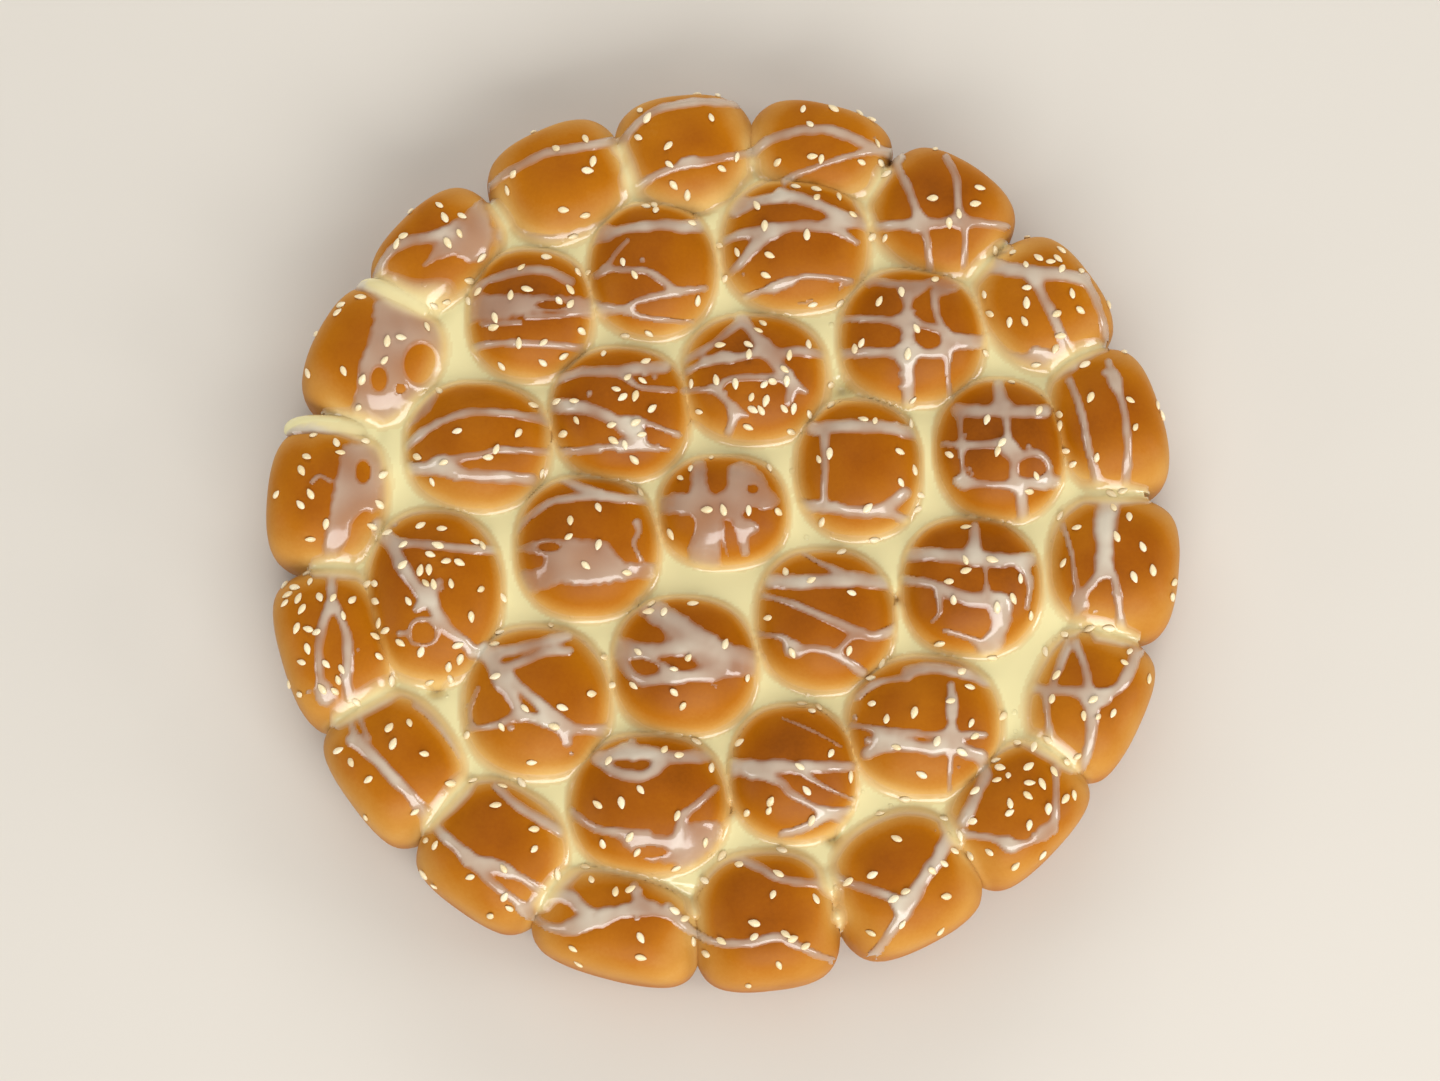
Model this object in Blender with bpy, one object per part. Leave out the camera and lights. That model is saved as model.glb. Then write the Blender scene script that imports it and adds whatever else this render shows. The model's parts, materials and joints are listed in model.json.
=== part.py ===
# Pull-apart bread: 37 small buns baked touching in a round pan, with milk cream standing in the
# valleys, milk drizzled over the domes and sesame seeds. Metres, +Z up, the base on z = 0.
import math
import random

import bmesh
import bpy
from mathutils import Matrix, Vector
from mathutils.bvhtree import BVHTree

MM = 0.001

# Driving dimensions
PAN_RADIUS = 140.6 * MM      # the round pan wall that the outer buns baked against
PAN_SOFTNESS = 2.5 * MM      # how gently a bun turns up along that wall
BUN_PITCH = 44.0 * MM        # from one bun's middle to the next
MIDDLE = (-0.8 * MM, 2.5 * MM)
SHOULDER = 19.0 * MM         # height at which a bun is widest
DOME = 23.0 * MM             # from there up to its top
RIM_DOME = 20.5 * MM         # the same on the outer buns
CREAM_LEVEL = 31.0 * MM      # height of the cream between the buns
CREAM_FLOOR = 24.0 * MM      # where three buns have grown together under it
CREAM_RADIUS = 110.0 * MM    # how far it stands between the outer buns
CORE_RADII = (127.0 * MM, 112.0 * MM)  # the dough that joins the buns, at its foot and its top
GAP = 0.5 * MM               # left between the cream and the crust
SEED_SIZE = (3.4 * MM, 2.1 * MM, 1.5 * MM)
SEED_PROUD = 0.2 * MM        # how far its middle stands over the crust
SEEDS_ON_BUN = 3

# How the dough takes its form
DOME_POWER = 2.2             # 2 is a round dome, more is a fuller one
FOOT_POWER = 3.6
FOOT_REACH = 1.08            # over 1: how soon the rounded foot turns flat
INNER_POWER = 2.3            # a bun seen from above: 2 is an ellipse, more is squarer
RIM_POWER = 2.6
UNEVEN_DOME = 1.1 * MM
HEX_TURN = 76                # degrees: the first bun of each inner ring
OUTER_TURN = 75.5            # and of the outer one
RANDOM_SEED = 37

# How finely it is cut into faces
BUN_SIDES, BUN_BANDS = 14, 8
STROKE_STEPS = 5
TONGUE_SIDES, TONGUE_BANDS = 8, 5
DISC_SIDES = 48
BREAD_TRIANGLES = 10500
BASE_LEVEL = 0.4 * MM        # what is lower than this lies on the underside

# Part of a bun's half width that still shows where the cream meets it
SHOWN = (1 - ((CREAM_LEVEL - SHOULDER) / DOME) ** DOME_POWER) ** (1 / DOME_POWER)

# The inner buns in millimetres, each ring anticlockwise from HEX_TURN: how far a bun was pushed
# from its place (x, y), and the half width and half depth of it that show above the cream
CENTRE_BUN = [(1, 2, 19.3, 17.1)]
INNER_RING = [
    (0, 1, 22.2, 19.9), (1, 2, 21.0, 20.5), (2, 3, 21.2, 21.7),
    (0, -3, 21.1, 20.6), (0, -1, 20.5, 21.5), (0, 3, 18.9, 21.3),
]
SECOND_RING = [
    (2, 1, 22.6, 21.3), (0, 5, 19.3, 21.3), (5, 3, 19.1, 20.7), (0, 4, 21.8, 19.5),
    (-2, 0, 20.3, 26.0), (-2, -2, 21.8, 23.0), (0, -2, 23.1, 20.8), (1, -5, 18.6, 20.2),
    (-2, -3, 22.8, 20.9), (2, -3, 20.6, 20.8), (1, -3, 19.3, 21.7), (6, 2, 21.8, 21.2),
]
# The outer buns: degrees from the even place, the radius at which one begins, and its half width
OUTER_RING = [
    (0.5, 108.0, 23.0), (0, 101.0, 22.6), (-1, 101.0, 22.6), (-0.5, 108.0, 22.6), (-2, 99.5, 23.0),
    (0, 102.5, 23.0), (1.5, 106.0, 25.2), (1, 103.5, 23.0), (0, 100.0, 22.6), (0, 109.5, 26.0),
    (0.5, 99.5, 22.4), (1, 100.5, 23.0), (0, 106.5, 23.0), (-1, 104.5, 23.0), (-1, 99.5, 23.0),
    (0, 105.5, 24.5), (0, 101.5, 22.6), (0.5, 100.0, 22.6),
]

# Milk drizzled over each bun, listed as above. A stroke crosses its dome from one direction on
# the rim to another (degrees), bows to its left by part of the half width, and has a width in
# millimetres. A fifth number is how much of the way it goes.
CENTRE_MILK = [[(109, 253, 0, 2.8), (171, 22, 0, 3.6)]]
INNER_MILK = [
    [(153, 27, 0.2, 2.3), (170, 40, 0.05, 2.2, 0.6), (184, 10, 0.1, 2.2, 0.65), (60, 330, 0, 2.4)],
    [(144, 49, -0.05, 2.6), (172, 332, 0.05, 3.4), (222, 324, 0, 2.3)],
    [(156, 77, 0.15, 2.3), (45, 345, 0, 2.3)],
    [(114, 13, -0.1, 3.6), (161, 15, -0.1, 3.4), (178, 10, -0.35, 2.4)],
    [(135, 37, 0, 3.2), (162, 350, -0.05, 2.2), (194, 313, 0.05, 2.4)],
    [(133, 32, 0, 2.6), (135, 218, 0.05, 2.3), (209, 335, -0.15, 2.5)],
]
SECOND_MILK = [
    [(148, 26, 0.25, 2.6), (195, 8, 0.15, 2.6), (230, 327, 0.05, 2.3)],
    [(155, 54, 0, 2.6), (179, 337, 0.08, 2.3), (212, 333, -0.05, 2.3)],
    [(161, 33, 0.22, 2.4), (212, 326, 0, 2.2)],
    [(182, 22, 0.27, 2.3), (197, 326, -0.1, 2.6)],
    [(137, 318, -0.08, 3.2), (138, 31, 0, 2.3)],
    [(135, 50, 0.1, 2.6), (147, 337, -0.22, 3.2)],
    [(118, 45, 0, 3.2), (192, 350, -0.1, 2.3, 0.55), (18, 285, -0.12, 2.3)],
    [(170, 8, -0.1, 2.6), (175, 325, 0, 2.3), (246, 323, 0, 2.4)],
    [(180, 350, 0, 2.2), (204, 324, 0.15, 2.4), (52, 310, 0, 2.3)],
    [(151, 32, 0, 3.2), (169, 336, -0.05, 2.6), (40, 295, -0.1, 2.6)],
    [(145, 50, -0.05, 3.6), (170, 350, 0.05, 2.2), (216, 327, 0, 2.4), (84, 286, 0, 2.4)],
    [(99, 267, 0, 2.8), (71, 300, 0.08, 2.2), (162, 357, 0, 2.3), (192, 358, -0.12, 2.4)],
]
OUTER_MILK = [
    [(187, 356, 0.3, 2.5)],
    [(170, 45, 0.3, 2.3), (222, 356, 0.05, 2.3)],
    [(198, 37, 0.2, 2.3)],
    [(220, 26, 0.15, 2.4)],
    [],
    [],
    [(75, 283, -0.15, 2.3), (75, 315, 0.12, 2.6)],
    [(139, 311, -0.05, 3.0)],
    [(149, 303, -0.05, 2.5), (83, 20, -0.05, 2.4)],
    [(155, 26, -0.2, 3.2)],
    [(178, 334, -0.15, 2.5), (112, 41, -0.05, 2.6)],
    [(38, 245, 0, 3.0), (171, 330, 0, 2.4, 0.5)],
    [(190, 61, -0.55, 2.4)],
    [(165, 49, -0.35, 2.4), (105, 254, 0.2, 2.5)],
    [(143, 225, 0, 2.3), (97, 275, 0, 3.4)],
    [(156, 244, 0, 2.4), (97, 278, 0.12, 2.8)],
    [(146, 39, -0.1, 3.2), (118, 290, 0, 2.4)],
    [(133, 257, 0, 2.4), (76, 297, 0, 2.4), (188, 349, -0.05, 2.8)],
]
STROKE_CLEAR = 3.2 * MM      # how far above the cream a stroke begins and ends
STROKE_SUNK = 0.08           # how far under the crust its middle lies, as part of its width
SEED_RIM = 0.72              # how far out the seeds lie
SUNFLOWER = 137.5            # degrees from one seed to the next

# Tongues of cream that ran out between two outer buns: degrees, and the radius each one reaches
TONGUES = [
    (5.5, 139), (25.5, 137), (45.5, 136), (65.5, 137), (105.5, 137), (125.5, 137), (146, 140),
    (165.5, 142), (185.5, 132), (207, 139), (226, 138), (244.5, 138), (325.5, 134), (345, 140),
]
TONGUE_START = 94 * MM
TONGUE_HALF_WIDTH = 3.2 * MM
TONGUE_HALF_HEIGHT = 3.4 * MM
TONGUE_HEIGHTS = (28.0 * MM, 25.4 * MM)
TONGUE_POWER = 3.0           # 2 is a pointed tip, more is a blunter one


def joined_powers(first, second, power):
    """The size of a pair of measures on a superellipse: 1 on its outline."""
    return (abs(first) ** power + abs(second) ** power) ** (1 / power)


def against_wall(radius, wall):
    """A radius that bends to stay inside the pan wall."""
    return wall - PAN_SOFTNESS * math.log1p(math.exp((wall - radius) / PAN_SOFTNESS))


class Bun:
    """One bun: its middle, its turn, its half sizes at the shoulder and the height of its dome."""

    def __init__(self, x, y, turn, half_x, half_y, dome, plan_power):
        self.x, self.y = x, y
        self.cos, self.sin = math.cos(turn), math.sin(turn)
        self.half_x, self.half_y = half_x, half_y
        self.dome, self.plan_power = dome, plan_power

    def point(self, direction, grow=0.0):
        """Where the bun's skin is in this direction from its middle, swollen by grow."""
        flat = math.hypot(direction.x, direction.y)
        power = DOME_POWER if direction.z >= 0 else FOOT_POWER
        size = joined_powers(flat, direction.z, power)
        out, rise = flat / size, direction.z / size
        across = along = 0.0
        if flat > 1e-6:
            cos, sin = direction.x / flat, direction.y / flat
            square = joined_powers(cos, sin, self.plan_power)
            across = out * cos / square * (self.half_x + grow)
            along = out * sin / square * (self.half_y + grow)
        x = self.x + across * self.cos - along * self.sin
        y = self.y + across * self.sin + along * self.cos
        if rise >= 0:
            z = SHOULDER + rise * (self.dome + grow)
        else:
            z = max(0.0, SHOULDER * (1 + rise * FOOT_REACH))
        radius = math.hypot(x, y)
        held = against_wall(radius, PAN_RADIUS + grow) / radius
        return Vector((x * held, y * held, z))

    def spread(self, x, y):
        """How far out a point of the plan lies: 0 at the bun's middle and 1 on its widest outline."""
        dx, dy = x - self.x, y - self.y
        across = (dx * self.cos + dy * self.sin) / self.half_x
        along = (dy * self.cos - dx * self.sin) / self.half_y
        return joined_powers(across, along, self.plan_power)

    def spread_at(self, height):
        """How far out the dome has this height."""
        return (1 - ((height - SHOULDER) / self.dome) ** DOME_POWER) ** (1 / DOME_POWER)

    def rim_point(self, degrees, part):
        """The point of the plan in this direction that lies this part of the way out."""
        cos, sin = math.cos(math.radians(degrees)), math.sin(math.radians(degrees))
        reach = part / self.spread(self.x + cos, self.y + sin)
        free = Vector((self.x + cos * reach, self.y + sin * reach))
        return free * (against_wall(free.length, PAN_RADIUS) / free.length)


def lay_buns():
    """The 37 buns: a hexagon of 19, and a ring of 18 against the pan wall."""
    chance = random.Random(RANDOM_SEED)
    buns = []
    for ring, rows in enumerate((CENTRE_BUN, INNER_RING, SECOND_RING)):
        for place, (push_x, push_y, shown_x, shown_y) in enumerate(rows):
            turn = math.radians(HEX_TURN + place * 360 / len(rows))
            corner = ring < 2 or place % 2 == 0
            away = ring * BUN_PITCH * (1 if corner else math.cos(math.radians(30)))
            x = MIDDLE[0] + away * math.cos(turn) + push_x * MM
            y = MIDDLE[1] + away * math.sin(turn) + push_y * MM
            dome = DOME + chance.uniform(-1, 1) * UNEVEN_DOME
            buns.append(Bun(x, y, 0.0, shown_x * MM / SHOWN, shown_y * MM / SHOWN, dome, INNER_POWER))
    for place, (push, begins, half_width) in enumerate(OUTER_RING):
        turn = math.radians(OUTER_TURN + place * 360 / len(OUTER_RING) + push)
        reach = PAN_RADIUS + PAN_SOFTNESS
        half_depth = (reach - begins * MM) / (1 + SHOWN)
        away = reach - half_depth
        dome = RIM_DOME + chance.uniform(-1, 1) * UNEVEN_DOME
        x, y = away * math.cos(turn), away * math.sin(turn)
        buns.append(Bun(x, y, turn, half_depth, half_width * MM, dome, RIM_POWER))
    return buns


def new_collection(name, parent):
    collection = bpy.data.collections.new(name)
    parent.children.link(collection)
    return collection


def new_object(name, shape, collection, material=None):
    mesh = bpy.data.meshes.new(name)
    shape.to_mesh(mesh)
    shape.free()
    obj = bpy.data.objects.new(name, mesh)
    collection.objects.link(obj)
    if material:
        mesh.materials.append(material)
    return obj


def new_material(name, colour, roughness, coat):
    material = bpy.data.materials.new(name)
    material.use_nodes = True
    shader = material.node_tree.nodes["Principled BSDF"]
    shader.inputs["Base Color"].default_value = (*colour, 1)
    shader.inputs["Roughness"].default_value = roughness
    shader.inputs["Coat Weight"].default_value = coat
    return material


def add_bun(bun, collection, grow=0.0):
    shape = bmesh.new()
    bmesh.ops.create_uvsphere(shape, u_segments=BUN_SIDES, v_segments=BUN_BANDS, radius=1)
    for vertex in shape.verts:
        vertex.co = bun.point(vertex.co, grow)
    new_object("bun", shape, collection)


def disc(foot_radius, top_radius, low, high):
    shape = bmesh.new()
    bmesh.ops.create_cone(
        shape, cap_ends=True, segments=DISC_SIDES, radius1=foot_radius, radius2=top_radius,
        depth=high - low, matrix=Matrix.Translation((0, 0, (low + high) / 2)),
    )
    return shape


def surface_of(obj):
    """A finder of the point of this object's skin, and its slope, over a point of the plan."""
    shape = bmesh.new()
    shape.from_mesh(obj.data)
    tree = BVHTree.FromBMesh(shape)
    shape.free()

    def find(flat):
        place, normal, _, _ = tree.ray_cast(Vector((flat.x, flat.y, 1)), Vector((0, 0, -1)))
        return place, normal

    return find


def add_stroke(skin, bun, stroke, collection):
    """A strand of milk draped over one bun, half sunk in its crust."""
    start, end, bow, width, *stop = stroke
    rim = bun.spread_at(CREAM_LEVEL + STROKE_CLEAR)
    first, last = bun.rim_point(start, rim), bun.rim_point(end, rim)
    left = Vector((first.y - last.y, last.x - first.x)).normalized()
    middle = (first + last) / 2 + left * bow * (bun.half_x + bun.half_y)
    curve = bpy.data.curves.new("stroke", "CURVE")
    curve.dimensions = "3D"
    curve.bevel_depth = width * MM / 2
    curve.bevel_resolution = 0
    curve.use_fill_caps = True
    line = curve.splines.new("POLY")
    line.points.add(STROKE_STEPS)
    for step, point in enumerate(line.points):
        t = step / STROKE_STEPS * (stop[0] if stop else 1)
        place, _ = skin(first * (1 - t) ** 2 + middle * 2 * t * (1 - t) + last * t * t)
        point.co = (place.x, place.y, place.z - width * MM * STROKE_SUNK, 1)
    guide = bpy.data.objects.new("stroke", curve)
    collection.objects.link(guide)
    bpy.context.view_layer.update()
    mesh = bpy.data.meshes.new_from_object(guide.evaluated_get(bpy.context.evaluated_depsgraph_get()))
    shape = bmesh.new()
    shape.from_mesh(mesh)
    bmesh.ops.remove_doubles(shape, verts=shape.verts, dist=MM / 1000)
    bpy.data.objects.remove(guide, do_unlink=True)
    bpy.data.meshes.remove(mesh)
    new_object("stroke", shape, collection)


def add_seed(skin, flat, heading, collection):
    """A sesame seed pressed into the crust at a point of the plan."""
    place, normal = skin(flat)
    stand = Matrix.Translation(place + normal * SEED_PROUD)
    turn = normal.to_track_quat("Z", "Y").to_matrix().to_4x4() @ Matrix.Rotation(heading, 4, "Z")
    size = Matrix.Diagonal((*[length / 2 for length in SEED_SIZE], 1))
    shape = bmesh.new()
    bmesh.ops.create_icosphere(shape, subdivisions=1, radius=1, matrix=stand @ turn @ size)
    new_object("seed", shape, collection)


def scatter_seeds(skin, buns, collection):
    """Seeds spread evenly over each dome: a sunflower's turn, then a little chance."""
    chance = random.Random(RANDOM_SEED + 1)
    for bun in buns:
        first = chance.uniform(0, 360)
        for number in range(SEEDS_ON_BUN):
            part = SEED_RIM * math.sqrt((number + chance.uniform(0.3, 0.7)) / SEEDS_ON_BUN)
            spot = bun.rim_point(first + number * SUNFLOWER, part)
            add_seed(skin, spot, chance.uniform(0, math.pi), collection)


def apply_modifiers(obj):
    bpy.context.view_layer.update()
    obj.data = bpy.data.meshes.new_from_object(obj.evaluated_get(bpy.context.evaluated_depsgraph_get()))
    obj.modifiers.clear()


def combine(target, operation, collection):
    """One Boolean with all that the collection holds, applied. The collection is then emptied."""
    boolean = target.modifiers.new("with " + collection.name, "BOOLEAN")
    boolean.operation = operation
    boolean.operand_type = "COLLECTION"
    boolean.collection = collection
    boolean.solver = "MANIFOLD"
    apply_modifiers(target)
    for obj in list(collection.objects):
        bpy.data.objects.remove(obj, do_unlink=True)
    bpy.data.collections.remove(collection)


def flatten_base(obj):
    """Levels the underside and joins its many faces into few."""
    shape = bmesh.new()
    shape.from_mesh(obj.data)
    low = {vertex for vertex in shape.verts if vertex.co.z < BASE_LEVEL}
    for vertex in low:
        vertex.co.z = 0.0
    under = {face for face in shape.faces if low.issuperset(face.verts)}
    edges = {edge for face in under for edge in face.edges if under.issuperset(edge.link_faces)}
    bmesh.ops.dissolve_edges(shape, edges=list(edges), use_verts=True)
    bmesh.ops.triangulate(shape, faces=shape.faces)
    shape.to_mesh(obj.data)
    shape.free()


def thin_out(obj, triangles):
    """Fewer faces, taken where the surface loses least."""
    obj.data.calc_loop_triangles()
    fewer = obj.modifiers.new("fewer faces", "DECIMATE")
    fewer.ratio = min(1.0, triangles / len(obj.data.loop_triangles))
    apply_modifiers(obj)


def make_bread(buns, parts, crust):
    bread = new_object("bread", disc(*CORE_RADII, 0, CREAM_FLOOR), parts, crust)
    joined = new_collection("joined to the bread", bpy.context.scene.collection)
    for bun in buns:
        add_bun(bun, joined)
    combine(bread, "UNION", joined)
    skin = surface_of(bread)
    toppings = new_collection("on the crust", bpy.context.scene.collection)
    for bun, strokes in zip(buns, CENTRE_MILK + INNER_MILK + SECOND_MILK + OUTER_MILK):
        for stroke in strokes:
            add_stroke(skin, bun, stroke, toppings)
    scatter_seeds(skin, buns, toppings)
    combine(bread, "UNION", toppings)
    thin_out(bread, BREAD_TRIANGLES)
    flatten_base(bread)


def keep_largest(obj):
    """Drops the loose scraps that a cut leaves."""
    shape = bmesh.new()
    shape.from_mesh(obj.data)
    left = set(shape.verts)
    pieces = []
    while left:
        piece = {next(iter(left))}
        fresh = list(piece)
        while fresh:
            vertex = fresh.pop()
            near = {edge.other_vert(vertex) for edge in vertex.link_edges} - piece
            piece |= near
            fresh += near
        left -= piece
        pieces.append(piece)
    largest = max(pieces, key=len)
    bmesh.ops.delete(shape, geom=[v for v in shape.verts if v not in largest], context="VERTS")
    shape.to_mesh(obj.data)
    shape.free()


def add_tongue(degrees, reach, collection):
    """Cream that ran out along the crease between two outer buns, to a blunt tip."""
    start, end = TONGUE_START, reach * MM
    high, low = TONGUE_HEIGHTS
    slope = math.atan2(high - low, end - start)
    place = Matrix.Rotation(math.radians(degrees), 4, "Z") @ Matrix.Translation(
        ((start + end) / 2, 0, (high + low) / 2)) @ Matrix.Rotation(slope, 4, "Y")
    size = Matrix.Diagonal(((end - start) / 2, TONGUE_HALF_WIDTH, TONGUE_HALF_HEIGHT, 1))
    shape = bmesh.new()
    bmesh.ops.create_uvsphere(
        shape, u_segments=TONGUE_SIDES, v_segments=TONGUE_BANDS, radius=1,
        matrix=Matrix.Rotation(math.radians(90), 4, "Y"))
    for vertex in shape.verts:
        side = math.hypot(vertex.co.y, vertex.co.z)
        vertex.co /= joined_powers(vertex.co.x, side, TONGUE_POWER)
    bmesh.ops.transform(shape, matrix=place @ size, verts=shape.verts)
    new_object("tongue", shape, collection)


def make_cream(buns, parts, milk):
    joined = new_collection("joined to the cream", bpy.context.scene.collection)
    cut = new_collection("cut from the cream", bpy.context.scene.collection)
    cream = new_object("milk_cream", disc(CREAM_RADIUS, CREAM_RADIUS, SHOULDER, CREAM_LEVEL), parts, milk)
    for degrees, reach in TONGUES:
        add_tongue(degrees, reach, joined)
    combine(cream, "UNION", joined)
    new_object("core", disc(*[radius + GAP for radius in CORE_RADII], 0, CREAM_FLOOR + GAP), cut)
    for bun in buns:
        add_bun(bun, cut, GAP)
    combine(cream, "DIFFERENCE", cut)
    keep_largest(cream)


def main():
    for obj in list(bpy.data.objects):
        bpy.data.objects.remove(obj, do_unlink=True)
    crust = new_material("golden crust", (0.46, 0.17, 0.03), 0.35, 0.4)
    milk = new_material("milk cream", (0.73, 0.66, 0.42), 0.22, 0.6)
    parts = new_collection("pull_apart_bread", bpy.context.scene.collection)
    buns = lay_buns()
    make_bread(buns, parts, crust)
    make_cream(buns, parts, milk)


main()
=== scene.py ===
# Looks of a round pull-apart bread: 37 browned buns, milk cream in the valleys, drizzle and sesame.
import json
import math
import random

import bmesh
import bpy
import numpy as np
from mathutils import Matrix, Vector, noise
from mathutils.bvhtree import BVHTree

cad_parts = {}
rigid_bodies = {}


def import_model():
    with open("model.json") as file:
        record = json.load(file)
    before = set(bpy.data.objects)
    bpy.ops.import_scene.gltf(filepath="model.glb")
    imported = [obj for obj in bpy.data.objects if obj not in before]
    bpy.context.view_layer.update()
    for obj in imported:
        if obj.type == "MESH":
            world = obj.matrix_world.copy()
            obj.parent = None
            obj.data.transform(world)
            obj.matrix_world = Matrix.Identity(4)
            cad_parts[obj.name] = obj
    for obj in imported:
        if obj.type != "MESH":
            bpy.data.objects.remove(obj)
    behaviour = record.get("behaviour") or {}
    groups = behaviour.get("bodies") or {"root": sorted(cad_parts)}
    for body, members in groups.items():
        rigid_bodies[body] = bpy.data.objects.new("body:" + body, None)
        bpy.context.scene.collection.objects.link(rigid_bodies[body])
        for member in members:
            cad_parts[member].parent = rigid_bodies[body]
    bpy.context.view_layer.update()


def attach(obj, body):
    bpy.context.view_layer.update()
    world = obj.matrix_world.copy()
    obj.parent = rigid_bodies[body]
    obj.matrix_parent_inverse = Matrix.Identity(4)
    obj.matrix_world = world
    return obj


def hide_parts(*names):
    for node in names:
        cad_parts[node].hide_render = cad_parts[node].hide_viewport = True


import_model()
mm = 0.001

# The photograph's view, as worked out from the outline and the seeds. The drizzle is laid in its pixels.
photoView = {
    "width": 1440, "height": 1081,
    "lens": 85.0, "sensor": 36.0,
    "elevation": 78.0,
    "aim": (-0.8 * mm, -3.5 * mm, 26.0 * mm),
    "pixel": 0.305 * mm,  # real size of a pixel at the aim
    "clipStart": 10 * mm,
}

# The buns, as in the solids: sizes in metres, and rows in millimetres
bunValues = {
    "panRadius": 140.6 * mm, "panSoftness": 2.5 * mm,
    "pitch": 44.0 * mm, "middle": (-0.8 * mm, 2.5 * mm),
    "shoulder": 19.0 * mm, "dome": 23.0 * mm, "rimDome": 20.5 * mm,
    "coreFoot": 127.0 * mm, "coreTop": 112.0 * mm, "coreHeight": 24.0 * mm, "coreSides": 96,
    "domePower": 2.2, "footPower": 3.6, "footReach": 1.08,  # how squarely a bun bends up and down
    "innerPower": 2.3, "rimPower": 2.6,  # and around its plan
    "unevenDome": 1.1 * mm, "hexTurn": 76, "outerTurn": 75.5, "seed": 37,
    "creamLevel": 31.0 * mm,
    "fineness": 5,  # subdivisions of each bun
    "cutFineness": 4, "cutInset": 0.25 * mm,  # the milk is cut by a plainer crust, this much smaller
    "dent": 0.022, "dentScale": 1.35,  # broad unevenness, as a part of the half width
    "ripple": 0.006, "rippleScale": 4.2,  # finer unevenness
    "flankPart": 2.4,  # a flank counts in full at the pitch over this from the bun's middle
    "skyHeight": 100 * mm,  # rays that look for the surface start here and go down
}
# Push from the even place (x, y), then the half width and half depth that show above the cream
centreBun = [(1, 2, 19.3, 17.1)]
innerRing = [
    (0, 1, 22.2, 19.9), (1, 2, 21.0, 20.5), (2, 3, 21.2, 21.7),
    (0, -3, 21.1, 20.6), (0, -1, 20.5, 21.5), (0, 3, 18.9, 21.3),
]
secondRing = [
    (2, 1, 22.6, 21.3), (0, 5, 19.3, 21.3), (5, 3, 19.1, 20.7), (0, 4, 21.8, 19.5),
    (-2, 0, 20.3, 26.0), (-2, -2, 21.8, 23.0), (0, -2, 23.1, 20.8), (1, -5, 18.6, 20.2),
    (-2, -3, 22.8, 20.9), (2, -3, 20.6, 20.8), (1, -3, 19.3, 21.7), (6, 2, 21.8, 21.2),
]
# Degrees from the even place, the radius at which the bun begins, its half width
outerRing = [
    (0.5, 108.0, 23.0), (0, 101.0, 22.6), (-1, 101.0, 22.6), (-0.5, 108.0, 22.6), (-2, 99.5, 23.0),
    (0, 102.5, 23.0), (1.5, 106.0, 25.2), (1, 103.5, 23.0), (0, 100.0, 22.6), (0, 109.5, 26.0),
    (0.5, 99.5, 22.4), (1, 100.5, 23.0), (0, 106.5, 23.0), (-1, 104.5, 23.0), (-1, 99.5, 23.0),
    (0, 105.5, 24.5), (0, 101.5, 22.6), (0.5, 100.0, 22.6),
]


def joinedPowers(first, second, power):
    return (abs(first) ** power + abs(second) ** power) ** (1 / power)


def againstWall(radius, wall):
    softness = bunValues["panSoftness"]
    return wall - softness * math.log1p(math.exp((wall - radius) / softness))


class Bun:
    def __init__(self, x, y, turn, halfX, halfY, dome, planPower):
        self.x, self.y, self.turn = x, y, turn
        self.cos, self.sin = math.cos(turn), math.sin(turn)
        self.halfX, self.halfY = halfX, halfY
        self.dome, self.planPower = dome, planPower
        self.pattern = Vector((x * 31, y * 47, x * 11 + y * 7)) / mm / 100  # its own part of the noise

    def point(self, direction, inset=0.0):  # where the skin is in this direction from the bun's middle
        v = bunValues
        flat = math.hypot(direction.x, direction.y)
        power = v["domePower"] if direction.z >= 0 else v["footPower"]
        size = joinedPowers(flat, direction.z, power)
        out, rise = flat / size, direction.z / size
        dent = noise.noise(direction * v["dentScale"] + self.pattern) * v["dent"]
        ripple = noise.noise(direction * v["rippleScale"] + self.pattern * 2) * v["ripple"]
        swell = 1 + dent + ripple
        across = along = 0.0
        if flat > 1e-6:
            cos, sin = direction.x / flat, direction.y / flat
            square = joinedPowers(cos, sin, self.planPower)
            across = out * cos / square * (self.halfX - inset) * swell
            along = out * sin / square * (self.halfY - inset) * swell
        x = self.x + across * self.cos - along * self.sin
        y = self.y + across * self.sin + along * self.cos
        if rise >= 0:
            z = v["shoulder"] + rise * (self.dome - inset) * swell
        else:
            z = max(0.0, v["shoulder"] * (1 + rise * v["footReach"]))
        radius = math.hypot(x, y)
        held = againstWall(radius, v["panRadius"] - inset) / radius
        return Vector((x * held, y * held, z))

    def rimPoint(self, degrees, part):  # the point of the plan in this direction, this part of the way out
        cos, sin = math.cos(math.radians(degrees)), math.sin(math.radians(degrees))
        across = (cos * self.cos + sin * self.sin) / self.halfX
        along = (sin * self.cos - cos * self.sin) / self.halfY
        reach = part / joinedPowers(across, along, self.planPower)
        x, y = self.x + cos * reach, self.y + sin * reach
        held = againstWall(math.hypot(x, y), bunValues["panRadius"]) / math.hypot(x, y)
        return x * held, y * held


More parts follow.
